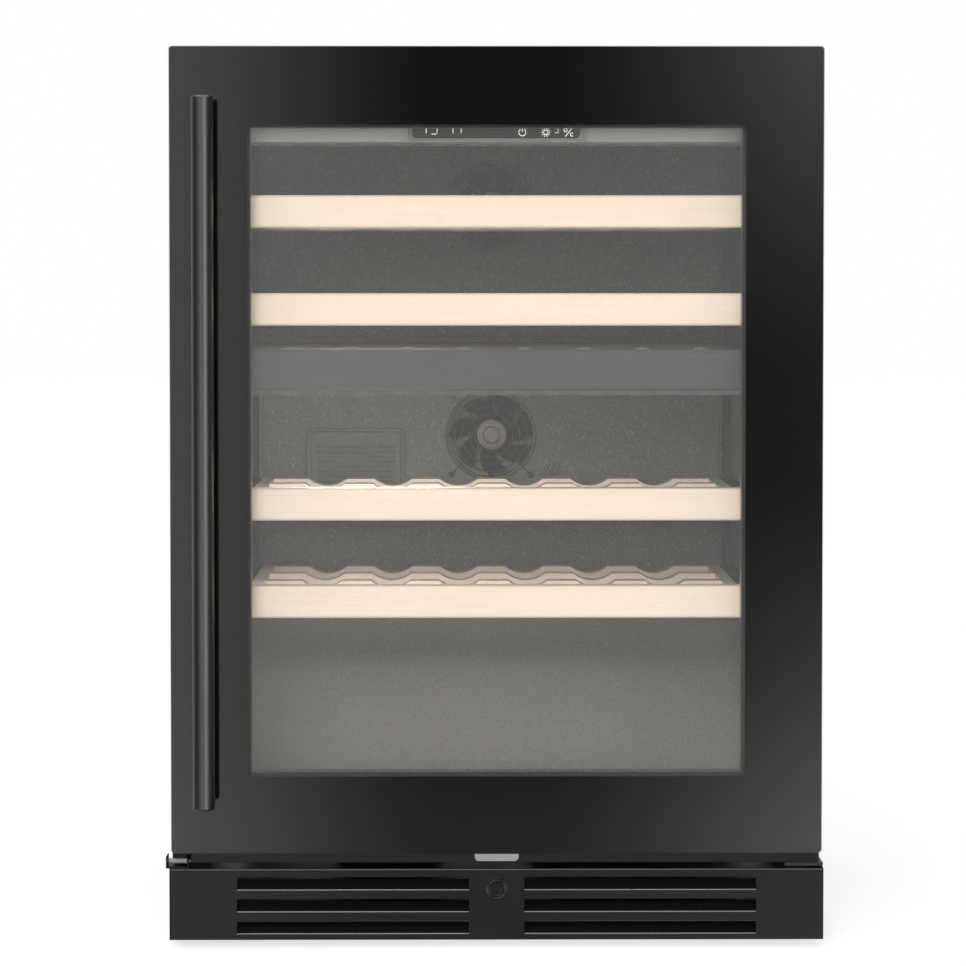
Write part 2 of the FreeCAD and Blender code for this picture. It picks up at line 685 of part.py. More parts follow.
def make_controls():
    face = front + D.fascia_back
    low = ceiling - D.fascia_tall
    fascia_x = (liner_x[0] + D.play, liner_x[1] - D.play)
    panel_rear = face + D.fascia_sheet
    panel = prism(fascia_x, (face, panel_rear), (low, ceiling - D.play))
    housing = box((fascia_x[0] + 4, fascia_x[1] - 4), (panel_rear, face + D.fascia_depth),
                  (low + 3, ceiling - D.play))
    slot_z = (low + 2.4, ceiling - 4)
    slot = box(around(sized(0), D.display_width), (face - 1, face + 8), slot_z)
    node("control_fascia", cut(fuse([panel, housing]), [slot]))
    lens_y = (face - D.display_proud, face - D.display_proud + 1)
    bezel = prism(around(sized(0), D.display_width - 0.4), (lens_y[1], face + 7.5),
                  (slot_z[0] + 0.2, slot_z[1] - 0.2), D.display_corner)
    lens = prism(around(sized(0), D.display_lens), lens_y, (slot_z[0] + 2, slot_z[1] - 2),
                 D.display_corner)
    node("control_display", fuse([bezel, lens]))

    lamp_x = (liner_x[0] + D.lamp_inset, liner_x[1] - D.lamp_inset)
    lamps = []
    for lamp_y, lamp_low in ((cabinet_front + 6, divider_z[0] - 4.5), (face + 14, low - 1.5)):
        lamps.append(prism(lamp_x, (lamp_y, lamp_y + D.lamp_width), (lamp_low, lamp_low + 4.3), sized(1.5)))
    node("led_bars", group(lamps))


def fan_bore(zone, radius):
    return rod(radius, "y", sized(0), duct_front - 1, fan_heights[zone], sized(30))


def make_ducts():
    spans = {"upper": (divider_z[1] + 1.5, ceiling - 1.5), "lower": (step_top + 2, divider_z[0] - 1.5)}
    bore = D.fan_size / 2 - 2
    duct_y = (duct_front, duct_front + D.duct_sheet)
    duct_x = (liner_x[0] + D.duct_inset, liner_x[1] - D.duct_inset)
    for zone, span in spans.items():
        hole = (sized(0), fan_heights[zone], bore)
        panel = prism(duct_x, duct_y, span, D.duct_corner, [hole])
        node(f"{zone}_duct_panel", panel)
    filter_top = fan_heights["lower"] + 7.3
    slots = []
    for row in range(8):
        top = filter_top - 18 - 5.2 * row
        slots.append(box((sized(-180), sized(-99)), (duct_front - 9, duct_front + 1), (top - 2.2, top)))
    cover = prism((sized(-190), sized(-89)), (duct_front - 7, duct_front), (filter_top - 74, filter_top),
                  sized(7))
    node("filter_cover", cut(cover, slots))

    housings, guards, coils = [], [], []
    for zone in spans:
        housings.append(fan_housing(sized(0), duct_y[1], fan_heights[zone], D.fan_size, D.fan_depth))
        guards.append(fan_guard(duct_front - D.wire * 2, fan_heights[zone]))
        coils.append(evaporator(duct_y[1] + 3, fan_heights[zone]))
        rotor = fan_rotor(f"{zone}_fan_rotor", D.fan_size, D.fan_depth)
        put(rotor, 0, duct_y[1], fan_heights[zone])
    node("evaporator_fan_housings", group(housings))
    node("evaporator_fan_guards", group(guards))
    node("evaporator_coils", group(coils))


def fan_housing(x, y, z, across, depth):
    """A square fan frame with a round bore, and a motor mount on two bars at its rear."""
    frame = prism(around(x, across), (y, y + depth), around(z, across), sized(4),
                  [(x, z, across / 2 - 2)])
    bars = [box(around(x, across - 2), (y + depth - 3, y + depth), around(z, sized(5))),
            box(around(x, sized(5)), (y + depth - 3, y + depth), around(z, across - 2))]
    mount = rod(across * 0.2, "y", x, y + depth - 3, z, sized(3))
    pin = rod(sized(1.5), "y", x, y + depth - 15, z, sized(14))
    return fuse([frame, mount, pin] + bars, "fan_housing")


def fan_rotor(label, across, depth, blades=7):
    """A hub with pitched blades, turning about Y; its place is on its axis at the frame's front."""
    hub = across * 0.2
    tip = across / 2 - 4.5
    body = new_body()
    feature(body, "Pad", sketch(body, "XZ_Plane", [(0, 0, hub)], -(depth - 3.6)),
            Length=depth - 5)
    chord, rise = depth * 0.3, depth * 0.22
    middle = depth * 0.45
    thick = 1.6
    section = [(middle - chord, -rise), (middle - chord + thick, -rise),
               (middle + chord, rise), (middle + chord - thick, rise)]
    blade = feature(body, "Pad", sketch(body, "YZ_Plane", [section], hub - 2), Length=tip - hub + 2)
    doc.recompute()
    ring = body.newObject("PartDesign::PolarPattern", "Blades")
    ring.Originals = [blade]
    ring.Axis = (origin_part(body, "Y_Axis"), [""])
    ring.Angle = 360
    ring.Occurrences = blades
    body.Tip = ring
    doc.recompute()
    bore = feature(body, "Pocket", sketch(body, "XZ_Plane", [(0, 0, sized(1.55))], -(depth - 3)),
                   Length=sized(12.5))
    bore.Reversed = True
    return node(label, body)


def fan_guard(y, z):
    """Concentric wires on four diagonal legs that end in screw eyes."""
    wire = D.wire
    parts = []
    outer = D.fan_size / 2 + 0.4
    for step in (0, 0.19, 0.353, 0.517, 0.647):
        ring = doc.addObject("Part::Torus", "ring")
        bind(ring, "Radius1", outer * (1 - step))
        bind(ring, "Radius2", wire)
        ring.Placement = Placement(Vector(), TURNS["y"])
        parts.append(put(ring, 0, y + wire, z))
    corner = D.fan_pitch / 2
    hub = outer * 0.353
    for turn, sign_x, sign_z in ((45, 1, 1), (135, 1, -1), (225, -1, -1), (315, -1, 1)):
        leg = doc.addObject("Part::Cylinder", "leg")
        bind(leg, "Radius", wire * 0.8)
        bind(leg, "Height", corner * math.sqrt(2) - hub)
        leg.Placement = Placement(Vector(), Rotation(Vector(0, 1, 0), turn))
        reach = hub / math.sqrt(2)
        parts.append(put(leg, reach * sign_x, y + wire, z + reach * sign_z))
        parts.append(rod(sized(3.6), "y", corner * sign_x, y + wire * 0.4, z + corner * sign_z,
                         wire * 1.2))
    return fuse(parts, "guard")


def evaporator(y, z):
    """A tube-and-fin coil behind the duct panel, beside its fan: fins joined by three tubes."""
    parts = []
    fins, pitch = 12, 9
    left = -(D.fan_size / 2 + 12 + pitch * fins)
    for fin in range(fins):
        start = left + pitch * fin
        parts.append(box((start, start + 1.2), (y, y + 24), around(z, sized(80))))
    for height in (-25, 0, 25):
        parts.append(rod(sized(4), "x", left - 4, y + 12, z + height, sized(pitch * fins + 4)))
    return fuse(parts, "coil")


# ---- Kick plate and lock ----

kick_y = front + D.kick_back


def make_kick_plate():
    """A sheet-metal plinth with louvred air slots on both sides of the lock."""
    body = new_body()
    side, rear, gauge = half, cabinet_front - 0.5, D.kick_sheet
    outline = [(-side, rear), (-side, kick_y), (side, kick_y), (side, rear), (side - gauge, rear),
               (side - gauge, kick_y + gauge), (-side + gauge, kick_y + gauge), (-side + gauge, rear)]
    channel = sketch(body, "XY_Plane", [outline], D.kick_low)
    feature(body, "Pad", channel, Length=D.kick_top - D.kick_low)
    corner = front.value + 10
    round_edges(body, 1.5, Z, lambda point: point.y < corner and abs(point.x) > half.value - 0.5)
    slot_x = (D.slot_inner, half - D.slot_outer)
    row = (D.slot_low, D.slot_low + D.slot_tall)
    pair = sketch(body, "XZ_Plane", [rectangle(slot_x, row),
                                     rectangle((-slot_x[1], -slot_x[0]), row)], -kick_y - gauge - 1)
    slots = feature(body, "Pocket", pair, Length=gauge + 3)
    slots.Reversed = True
    doc.recompute()
    rows = body.newObject("PartDesign::LinearPattern", "Rows")
    rows.Originals = [slots]
    rows.Direction = (origin_part(body, "Z_Axis"), [""])
    bind(rows, "Length", D.slot_pitch * 2)
    rows.Occurrences = 3
    body.Tip = rows
    doc.recompute()
    hole = feature(body, "Pocket", sketch(body, "XZ_Plane", [(0, D.lock_height, D.lock_radius - 1.5)],
                                          -kick_y - gauge - 1), Length=gauge + 3)
    hole.Reversed = True

    louvres = []
    for row_number in range(3):
        foot = D.slot_low + D.slot_pitch * row_number - 1
        for start in (slot_x[0], -slot_x[1]):
            blade = doc.addObject("Part::Box", "louvre")
            bind(blade, "Length", slot_x[1] - slot_x[0])
            bind(blade, "Width", sized(1.2))
            bind(blade, "Height", D.slot_tall + 1)
            blade.Placement = Placement(Vector(), Rotation(Vector(1, 0, 0), -40))
            louvres.append(put(blade, start, kick_y + gauge - 1, foot))
    node("kick_plate", fuse([body] + louvres))


def make_lock():
    """A tubular lock: the housing is fixed in the kick plate, and the plug turns the cam."""
    gauge = D.kick_sheet
    face = kick_y - 1.8
    rear = kick_y + gauge + 4.5
    collar = turned(None, [(D.plug_radius, 0), (D.lock_radius - 0.8, 0), (D.lock_radius, 0.8),
                           (D.lock_radius, 1.8), (D.lock_radius - 1.6, 1.8),
                           (D.lock_radius - 1.6, rear - face), (D.plug_radius, rear - face)])
    collar.Placement = Placement(Vector(), TURNS["y"])
    node("lock_housing", put(collar, 0, face, D.lock_height))
    radius = D.plug_radius - D.pin_play
    length = cam_y[1] - face
    plug = turned(None, [(0, 0.8), (2.7, 0.8), (2.7, 5), (4.2, 5), (4.2, 0.4), (radius, 0.4),
                         (radius, cam_y[0] - face), (3, cam_y[0] - face), (3, length), (0, length)])
    plug.Placement = Placement(Vector(), TURNS["y"])
    node("lock_plug", put(plug, 0, face, D.lock_height))
    arm = prism((-D.cam_length, D.cam_width / 2), cam_y, around(D.lock_height, D.cam_width), sized(4),
                [(sized(0), D.lock_height, sized(3))])
    node("lock_cam", arm)


# ---- Machine compartment ----

def make_machinery():
    floor = D.ground_gap + D.pan_thick
    x, y = D.compressor_x, back - D.compressor_back
    radius, tall = D.compressor_radius, D.compressor_tall
    dome = turned("compressor", [(0, 8), (radius * 0.55, 8), (radius, 32), (radius, 74),
                                 (radius + 3, 76), (radius + 3, 80), (radius, 82), (radius, tall - 32),
                                 (radius * 0.62, tall - 6), (0, tall)])
    put(dome, x, y, floor)
    bases = []
    for foot_x in around(x, D.grommet_pitch):
        rings = [rod(D.grommet_radius, "z", foot_x, foot_y, floor, D.grommet_tall)
                 for foot_y in around(y, D.grommet_pitch)]
        rail = box(around(foot_x, sized(12)), around(y, D.grommet_pitch + 12), (floor, floor + 3))
        bases.append(fuse(rings + [rail]))
    node("compressor_grommets", group(bases))
    relay = prism(around(x, sized(60)), (y - radius - 16, y - radius - 3.5),
                  (floor + 46, floor + 112), sized(4))
    node("compressor_relay_cover", relay)

    fan_x, fan_z = D.cooling_x, floor + D.cooling_fan / 2 + 4
    fan_y = bay_front + 12
    housing = fan_housing(fan_x, fan_y, fan_z, D.cooling_fan, D.fan_depth)
    node("condenser_fan_housing", housing)
    rotor = fan_rotor("condenser_fan_rotor", D.cooling_fan, D.fan_depth)
    put(rotor, fan_x, fan_y, fan_z)

    coil_y = fan_y + D.fan_depth + 16
    fin_count, fin_pitch, fin_x = 13, 10, fan_x - 62
    fins = []
    for fin in range(fin_count):
        place = fin_x + fin_pitch * fin
        fins.append(box((place, place + D.fin_thick), (coil_y, coil_y + D.coil_depth),
                        (floor + 4, floor + 4 + D.coil_tall)))
    levels, overhang = 4, 4
    tubes = []
    for level in range(levels):
        tube_z = floor + 4 + D.coil_tall * (level + 0.5) / levels
        for depth in (0.25, 0.75):
            tubes.append(rod(D.pipe_radius, "x", fin_x - overhang, coil_y + D.coil_depth * depth, tube_z,
                             sized(fin_pitch * (fin_count - 1) + 3 * overhang)))
    node("condenser_coil", fuse(fins + tubes))
    make_pipes(x.value, y.value, coil_y.value, floor.value)

    tray_z = (bay_top - 8 - D.tray_tall, bay_top - 8)
    wall = D.tray_wall
    tray = prism(around(x, D.tray_width), around(y, D.tray_depth), tray_z)
    hollow = box(around(x, D.tray_width - 2 * wall), around(y, D.tray_depth - 2 * wall),
                 (tray_z[0] + wall, tray_z[1] + 5))
    hanger = box(around(x, sized(20)), around(y, sized(12)), (floor + tall + 1, tray_z[0] + 1))
    node("drip_tray", cut(fuse([tray, hanger]), [hollow]))

    cover_x = (bay_x[0] - 6, bay_x[1] + 6)
    slots = []
    for row in range(9):
        low = D.ground_gap + 34 + 17 * row
        for span in ((bay_x[0] + 40, sized(-8)), (sized(8), bay_x[1] - 120)):
            slots.append(box(span, (back - 2, back + 1), (low, low + 7)))
    plate = prism(cover_x, (back - 1, back), (D.ground_gap + 8, bay_top + 8), sized(4))
    make_inlet(plate, slots)


def make_inlet(plate, slots):
    """The cover's air slots and the mains inlet seated in it: a shell, a well and three pins."""
    x, z = bay_x[1] - D.inlet_side, D.inlet_height
    wide, tall = D.inlet_width, D.inlet_tall
    seat = box(around(x, wide), (back - 2, back + 1), around(z, tall))
    node("machine_cover", cut(plate, slots + [seat]))
    fit, wall = 2 * D.play, 7
    shell = prism(around(x, wide - fit), (back - 22, back - 0.2), around(z, tall - fit), sized(3))
    well = box(around(x, wide - wall), (back - 16, back + 1), around(z, tall - wall))
    pins = [box(around(x + shift, sized(2)), (back - 17, back - 5), around(z, sized(4)))
            for shift in (-7, 0, 7)]
    node("power_inlet", fuse([cut(shell, [well])] + pins))


def bent_tube(points, radius, bend):
    """A round tube along straight runs joined by tangent arcs."""
    corners = [Vector(*point) for point in points]
    edges, at = [], corners[0]
    for before, corner, after in zip(corners, corners[1:], corners[2:]):
        into, out = (corner - before).normalize(), (after - corner).normalize()
        setback = bend * math.tan(into.getAngle(out) / 2)
        start, end = corner - into * setback, corner + out * setback
        middle_way = (out - into).normalize()
        centre = corner + middle_way * (bend / math.cos(into.getAngle(out) / 2))
        middle = centre - middle_way * bend
        edges += [Part.LineSegment(at, start).toShape(), Part.Arc(start, middle, end).toShape()]
        at = end
    edges.append(Part.LineSegment(at, corners[-1]).toShape())
    run = Part.Wire(edges)
    ring = Part.Wire(Part.makeCircle(radius, corners[0], corners[1] - corners[0]))
    return run.makePipeShell([ring], True, False)


def make_pipes(x, y, coil_y, floor):
    """Discharge and suction lines: from the compressor to the condenser and up to the cold side."""
    radius, bend, shell = SIZES["pipe_radius"], SIZES["pipe_bend"], SIZES["compressor_radius"]
    discharge = [(x + shell - 1, y + 20, floor + 60), (x + shell + 45, y + 20, floor + 60),
                 (x + shell + 45, y + 20, floor + 109),
                 (x + shell + 45, coil_y + 45 if coil_y + 45 < y - 15 else y - 25, floor + 109)]
    roof = bay_top.value
    suction = [(x + shell - 1, y - 20, floor + 100), (x + shell + 25, y - 20, floor + 100),
               (x + shell + 25, y - 20, roof - 1)]
    tubes = [bent_tube(discharge, radius, bend), bent_tube(suction, radius, bend)]
    pipes = doc.addObject("Part::Feature", "pipes")
    pipes.Shape = Part.makeCompound(tubes)
    pipes.Placement = Placement()
    node("refrigerant_pipes", pipes)


# ---- Build, check and write ----

make_door()
make_hinges()
make_roller()
make_cabinet()
make_feet()
for count, place in enumerate(shelf_heights, 1):
    make_shelf(count, place)
make_tracks()
make_controls()
make_ducts()
make_kick_plate()
make_lock()
make_machinery()
doc.recompute()

faults = [item.Label for item in doc.Objects if {"Invalid", "Error"} & set(item.State)]
assert not faults, f"objects that failed: {faults}"
for label, piece in nodes.items():
    assert piece.Label == label, f"the label {label} is taken"
    assert not piece.Shape.isNull() and piece.Shape.isValid(), f"{label} has no valid shape"
    assert piece.Shape.Volume > 0, f"{label} is inside out"

os.makedirs("parts", exist_ok=True)
for label, piece in nodes.items():
    piece.Shape.exportStep(f"parts/{label}.step")
    print(f"{label}: {len(piece.Shape.Solids)} solids, {piece.Shape.Volume / 1000:.1f} cm3")
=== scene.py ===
import math

import bmesh
import bpy
from mathutils import Matrix, Vector


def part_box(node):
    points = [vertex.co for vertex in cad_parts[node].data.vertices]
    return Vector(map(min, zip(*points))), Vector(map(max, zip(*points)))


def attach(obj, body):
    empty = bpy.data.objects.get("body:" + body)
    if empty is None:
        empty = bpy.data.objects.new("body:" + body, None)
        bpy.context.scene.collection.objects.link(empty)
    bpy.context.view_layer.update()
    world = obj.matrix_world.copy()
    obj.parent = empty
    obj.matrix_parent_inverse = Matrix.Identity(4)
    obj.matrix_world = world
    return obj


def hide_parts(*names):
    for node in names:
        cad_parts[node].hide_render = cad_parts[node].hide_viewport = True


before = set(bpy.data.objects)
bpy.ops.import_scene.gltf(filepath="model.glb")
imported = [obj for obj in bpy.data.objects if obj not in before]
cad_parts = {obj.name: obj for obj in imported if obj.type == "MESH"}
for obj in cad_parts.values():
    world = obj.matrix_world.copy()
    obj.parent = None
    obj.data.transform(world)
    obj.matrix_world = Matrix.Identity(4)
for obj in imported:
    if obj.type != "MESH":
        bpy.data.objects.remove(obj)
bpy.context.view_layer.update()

MM = 0.001


# ---- Materials: each is fed by its own procedural nodes ----

class Look:
    """A Principled material, with short calls for the nodes that feed it. Patterns are laid out
    in metres in the object's own frame."""

    def __init__(self, name, **sockets):
        self.material = bpy.data.materials.new(name)
        self.material.use_nodes = True
        self.tree = self.material.node_tree
        self.shader = self.tree.nodes["Principled BSDF"]
        self.coordinates = self.add("ShaderNodeTexCoord").outputs["Object"]
        self.set(self.shader, sockets)

    def set(self, node, sockets):
        for name, amount in sockets.items():
            socket = node.inputs[name]
            if isinstance(amount, bpy.types.NodeSocket):
                self.tree.links.new(amount, socket)
            else:
                socket.default_value = amount

    def add(self, kind, sockets=None, **settings):
        node = self.tree.nodes.new(kind)
        for name, amount in settings.items():
            setattr(node, name, amount)
        self.set(node, sockets or {})
        return node

    def stretched(self, x, y, z):
        """Coordinates scaled by a different amount along each axis."""
        node = self.add("ShaderNodeMapping", {"Vector": self.coordinates})
        node.inputs["Scale"].default_value = (x, y, z)
        return node.outputs["Vector"]

    def noise(self, x, y=None, z=None, detail=3.0, rough=0.55):
        """Noise with so many features to the metre along each axis."""
        vector = self.stretched(x, x if y is None else y, x if z is None else z)
        sockets = {"Vector": vector, "Scale": 1.0, "Detail": detail, "Roughness": rough}
        return self.add("ShaderNodeTexNoise", sockets).outputs["Fac"]

    def spread(self, amount, low, high, start=0.3, end=0.7):
        """Carry a pattern from one range to another."""
        node = self.add("ShaderNodeMapRange", {
            "Value": amount, "From Min": start, "From Max": end, "To Min": low, "To Max": high})
        return node.outputs["Result"]

    def math(self, operation, first, second=0.0):
        node = self.add("ShaderNodeMath", operation=operation)
        self.set_at(node, 0, first)
        self.set_at(node, 1, second)
        return node.outputs[0]

    def set_at(self, node, index, amount):
        if isinstance(amount, bpy.types.NodeSocket):
            self.tree.links.new(amount, node.inputs[index])
        else:
            node.inputs[index].default_value = amount

    def mixed(self, amount, first, second):
        """One colour fading to another."""
        node = self.add("ShaderNodeMix", data_type="RGBA")
        for index, value in ((0, amount), (6, first), (7, second)):
            self.set_at(node, index, value)
        return node.outputs[2]

    def bump(self, height, depth, under=None):
        """A bump of so many metres; it goes on top of another normal."""
        sockets = {"Height": height, "Distance": depth, "Strength": 1.0}
        if under is not None:
            sockets["Normal"] = under
        normal = self.add("ShaderNodeBump", sockets).outputs["Normal"]
        self.set(self.shader, {"Normal": normal})
        return normal

    def split(self):
        """The three coordinates, each by its letter."""
        node = self.add("ShaderNodeSeparateXYZ", {"Vector": self.coordinates})
        return {axis: node.outputs[axis.upper()] for axis in "xyz"}

    def within(self, **spans):
        """1 inside a box given as spans such as x=(low, high), and 0 outside it."""
        places = self.split()
        inside = 1.0
        for axis, (low, high) in spans.items():
            above = self.math("GREATER_THAN", places[axis], low)
            below = self.math("LESS_THAN", places[axis], high)
            inside = self.math("MULTIPLY", inside, self.math("MULTIPLY", above, below))
        return inside

    def soft_edges(self, radius=0.0008):
        """Normals that run round the edges of a hard-edged solid."""
        return self.add("ShaderNodeBevel", {"Radius": radius}, samples=3).outputs["Normal"]


def color(*rgb):
    return (*rgb, 1.0)


def plastic(name, base, rough, grain=900, depth=0.00003, patch=0.12, edge=0.0006, **sockets):
    """Moulded plastic: a fine grain, patches that are a little lighter, softened edges."""
    look = Look(name, **sockets)
    cloud = look.noise(9, detail=4)
    tone = look.spread(cloud, 1 - patch, 1 + patch)
    dark = tuple(part * (1 - patch) for part in base)
    light = tuple(part * (1 + patch) for part in base)
    fine = look.noise(grain, detail=2)
    look.set(look.shader, {
        "Base Color": look.mixed(look.spread(cloud, 0, 1), color(*dark), color(*light)),
        "Roughness": look.math("MULTIPLY", look.spread(fine, rough * 0.88, rough * 1.12), tone)})
    look.bump(fine, depth, look.soft_edges(edge))
    return look.material


def coated_metal(name, base, rough, peel=420, depth=0.00002, edge=0.0008, **sockets):
    """Powder-coated metal: orange peel, faint handling marks and edges that catch the light."""
    look = Look(name, **sockets)
    peel_noise = look.noise(peel, detail=3)
    smear = look.noise(14, 14, 5, detail=5, rough=0.65)
    lighter = tuple(part * 1.35 + 0.002 for part in base)
    look.set(look.shader, {
        "Base Color": look.mixed(look.spread(smear, 0, 1), color(*base), color(*lighter)),
        "Roughness": look.spread(smear, rough * 0.85, rough * 1.15)})
    look.bump(peel_noise, depth, look.soft_edges(edge))
    return look.material


def brushed(name, base, rough, along="x", grain=2600, metal=1.0, **sockets):
    """Brushed metal with its fine lines along one axis."""
    look = Look(name, Metallic=metal, **sockets)
    few, many = 12, grain
    counts = {"x": (few, many, many), "y": (many, few, many), "z": (many, many, few)}[along]
    lines = look.noise(*counts, detail=3)
    broad = look.noise(5, detail=3)
    darker = tuple(part * 0.82 for part in base)
    look.set(look.shader, {
        "Base Color": look.mixed(look.spread(lines, 0, 1), color(*darker), color(*base)),
        "Roughness": look.math("MULTIPLY", look.spread(lines, rough * 0.8, rough * 1.2),
                               look.spread(broad, 0.94, 1.06))})
    look.bump(lines, 0.000008, look.soft_edges(0.0004))
    return look.material


def beech(name):
    """Steamed beech: long pale figure, short darker flecks and fine pores along X."""
    look = Look(name)
    figure = look.noise(2.2, 34, 46, detail=6, rough=0.6)
    lines = look.noise(9, 420, 420, detail=4)
    flecks = look.noise(170, 1500, 1500, detail=1)
    pale, warm, deep = color(0.85, 0.695, 0.60), color(0.81, 0.645, 0.54), color(0.66, 0.48, 0.36)
    wood = look.mixed(look.spread(figure, 0, 1, 0.25, 0.78), pale, warm)
    wood = look.mixed(look.spread(lines, 0, 0.28, 0.45, 0.8), wood, deep)
    wood = look.mixed(look.spread(flecks, 0, 0.42, 0.63, 0.72), wood, deep)
    look.set(look.shader, {"Base Color": wood, "Roughness": look.spread(lines, 0.42, 0.58)})
    look.bump(look.math("ADD", lines, flecks), 0.00004, look.soft_edges(0.0008))
    return look.material


def speckled(name, base, spots):
    """The liner's grey plastic with a fine pale speckle."""
    look = Look(name)
    spot = look.noise(620, detail=1)
    cloud = look.noise(4.5, detail=4)
    ground = look.mixed(look.spread(cloud, 0, 1), color(*[part * 0.88 for part in base]), color(*base))
    look.set(look.shader, {
        "Base Color": look.mixed(look.spread(spot, 0, 0.5, 0.6, 0.7), ground, color(*spots)),
        "Roughness": look.spread(spot, 0.4, 0.52)})
    look.bump(look.noise(900, detail=2), 0.00004, look.soft_edges(0.002))
    return look.material


def clear_glass(name, haze, reflect, film_area=None):
    """Flat glass that lets light straight through. Haze is how much of it scatters as a film,
    all over or only within an area. It mirrors more at a slant, and the same from both sides."""
    look = Look(name)
    tree = look.tree
    smear = look.noise(7, detail=5, rough=0.6)
    film = look.shader
    look.set(film, {"Base Color": color(0.93, 0.92, 0.91), "IOR": reflect,
                    "Roughness": look.spread(smear, 0.55, 0.7)})
    cover = look.spread(smear, haze * 0.97, haze * 1.03)
    if film_area:
        cover = look.math("MULTIPLY", cover, look.within(**film_area))
    through = look.add("ShaderNodeBsdfTransparent", {"Color": color(0.967, 0.971, 0.966)})
    gloss = look.add("ShaderNodeBsdfGlossy", {"Roughness": 0.012, "Color": color(1, 1, 1)})
    hazy = look.add("ShaderNodeMixShader")
    look.set_at(hazy, 0, cover)
    tree.links.new(through.outputs[0], hazy.inputs[1])
    tree.links.new(film.outputs[0], hazy.inputs[2])
    head_on = ((reflect - 1) / (reflect + 1)) ** 2
    facing = look.add("ShaderNodeLayerWeight", {"Blend": 0.5}).outputs["Facing"]
    mirrored = look.math("ADD", look.math("MULTIPLY", look.math("POWER", facing, 5.0), 1 - head_on),
                         head_on)
    surface = look.add("ShaderNodeMixShader")
    tree.links.new(mirrored, surface.inputs[0])
    tree.links.new(hazy.outputs[0], surface.inputs[1])
    tree.links.new(gloss.outputs[0], surface.inputs[2])
    tree.links.new(surface.outputs[0], tree.nodes["Material Output"].inputs["Surface"])
    return look.material


def printed_black(name):
    """Black enamel fired onto glass: a deep, even gloss with the faintest ripple."""
    look = Look(name, IOR=1.5)
    ripple = look.noise(6, detail=2)
    look.set(look.shader, {
        "Base Color": look.mixed(ripple, color(0.0006, 0.0006, 0.0007), color(0.0014, 0.0014, 0.0015)),
        "Roughness": look.spread(ripple, 0.03, 0.05)})
    look.bump(look.noise(2.5, detail=1), 0.00006)
    return look.material


def lit(name, tint, strength, base=(0.8, 0.8, 0.8), pattern=True):
    """A lit surface: with a pattern it has brighter spots over the diodes, and without it an even
    glow with a faint bleed."""
    look = Look(name, Roughness=0.5)
    look.set(look.shader, {"Base Color": color(*base), "Emission Color": color(*tint)})
    if pattern:
        wave = look.add("ShaderNodeTexWave", {"Vector": look.stretched(1, 0, 0), "Scale": 9.0},
                        wave_type="BANDS", bands_direction="X").outputs["Fac"]
        look.set(look.shader, {"Emission Strength": look.spread(wave, strength * 0.35, strength, 0, 1)})
    else:
        bleed = look.noise(260, detail=2)
        look.set(look.shader, {"Emission Strength": look.spread(bleed, strength * 0.8, strength)})
    return look.material


def rubber(name):
    return plastic(name, (0.014, 0.014, 0.014), 0.62, grain=1400, depth=0.00004, patch=0.18)


def copper_tube(name):
    look = Look(name, Metallic=1.0)
    tarnish = look.noise(45, detail=5)
    look.set(look.shader, {
        "Base Color": look.mixed(look.spread(tarnish, 0, 1), color(0.75, 0.36, 0.2), color(0.42, 0.2, 0.12)),
        "Roughness": look.spread(tarnish, 0.22, 0.45)})
    look.bump(look.noise(300), 0.00002)
    return look.material


def foam_block(name):
    look = Look(name)
    cells = look.add("ShaderNodeTexVoronoi", {"Vector": look.stretched(500, 500, 500), "Scale": 1.0})
    look.set(look.shader, {
        "Base Color": look.mixed(look.noise(12), color(0.72, 0.6, 0.35), color(0.8, 0.7, 0.45)),
        "Roughness": look.spread(cells.outputs["Distance"], 0.75, 0.95, 0, 1)})
    look.bump(cells.outputs["Distance"], 0.0003)
    return look.material


def inside_lip():
    """The part of the inner pane that the frame's lip leaves clear, as spans along X and Z."""
    cover = 14.5 * MM
    low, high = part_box("inner_glass")
    return {"x": (low.x + cover, high.x - cover), "z": (low.z + cover, high.z - cover)}


LIP = inside_lip()


def painted_frame(name):
    """The door frame's extrusion: black outside, with a dark grey lip round the window, and a painted shade,
    dead black, in the recess over the support roller."""
    look = Look(name, **{"Specular IOR Level": 0.3})
    grain = look.noise(900, detail=2)
    cloud = look.noise(7, detail=4)
    lip_width = 12 * MM
    spans = {axis: (low - lip_width, high + lip_width) for axis, (low, high) in LIP.items()}
    lip = look.math("MULTIPLY", look.within(**spans), look.spread(cloud, 0.9, 1.0))
    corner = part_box("door_frame")[0]
    margin, recess_wide, recess_tall = 1 * MM, 16 * MM, 8.8 * MM
    painted_shade_recess = look.within(x=(corner.x - margin, corner.x + recess_wide),
                         z=(corner.z - margin, corner.z + recess_tall))
    black, grey = color(0.0042, 0.0042, 0.0042), color(0.056, 0.056, 0.057)
    painted = look.mixed(lip, black, grey)
    # Within the recess over the roller the colour is a painted shade, near black.
    look.set(look.shader, {
        "Base Color": look.mixed(painted_shade_recess, painted, color(0.0005, 0.0005, 0.0005)),
        "Roughness": look.spread(grain, 0.22, 0.3)})
    look.bump(grain, 0.00003, look.soft_edges(0.0012))
    return look.material


def plinth_coat(name):
    """The kick plate's satin coat; behind its face, where the air goes in, a painted shade: near black and
    matt.
    """
    look = Look(name, **{"Specular IOR Level": 0.29})
    skin_depth = 1.6 * MM
    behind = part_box("kick_plate")[0].y + skin_depth
    inside = look.math("GREATER_THAN", look.split()["y"], behind)
    peel = look.noise(420, detail=3)
    smear = look.noise(10, 10, 5, detail=5, rough=0.65)
    skin = look.mixed(look.spread(smear, 0, 1), color(0.0035, 0.0035, 0.0037), color(0.0058, 0.0058, 0.0060))
    # Behind the face the colour drops to near black: a painted shade in the slots.
    look.set(look.shader, {
        "Base Color": look.mixed(inside, skin, color(0.0012, 0.0012, 0.0012)),
        "Roughness": look.math("ADD", look.spread(smear, 0.17, 0.21), look.math("MULTIPLY", inside, 0.75))})
    look.bump(peel, 0.00002, look.soft_edges(0.0008))
    return look.material


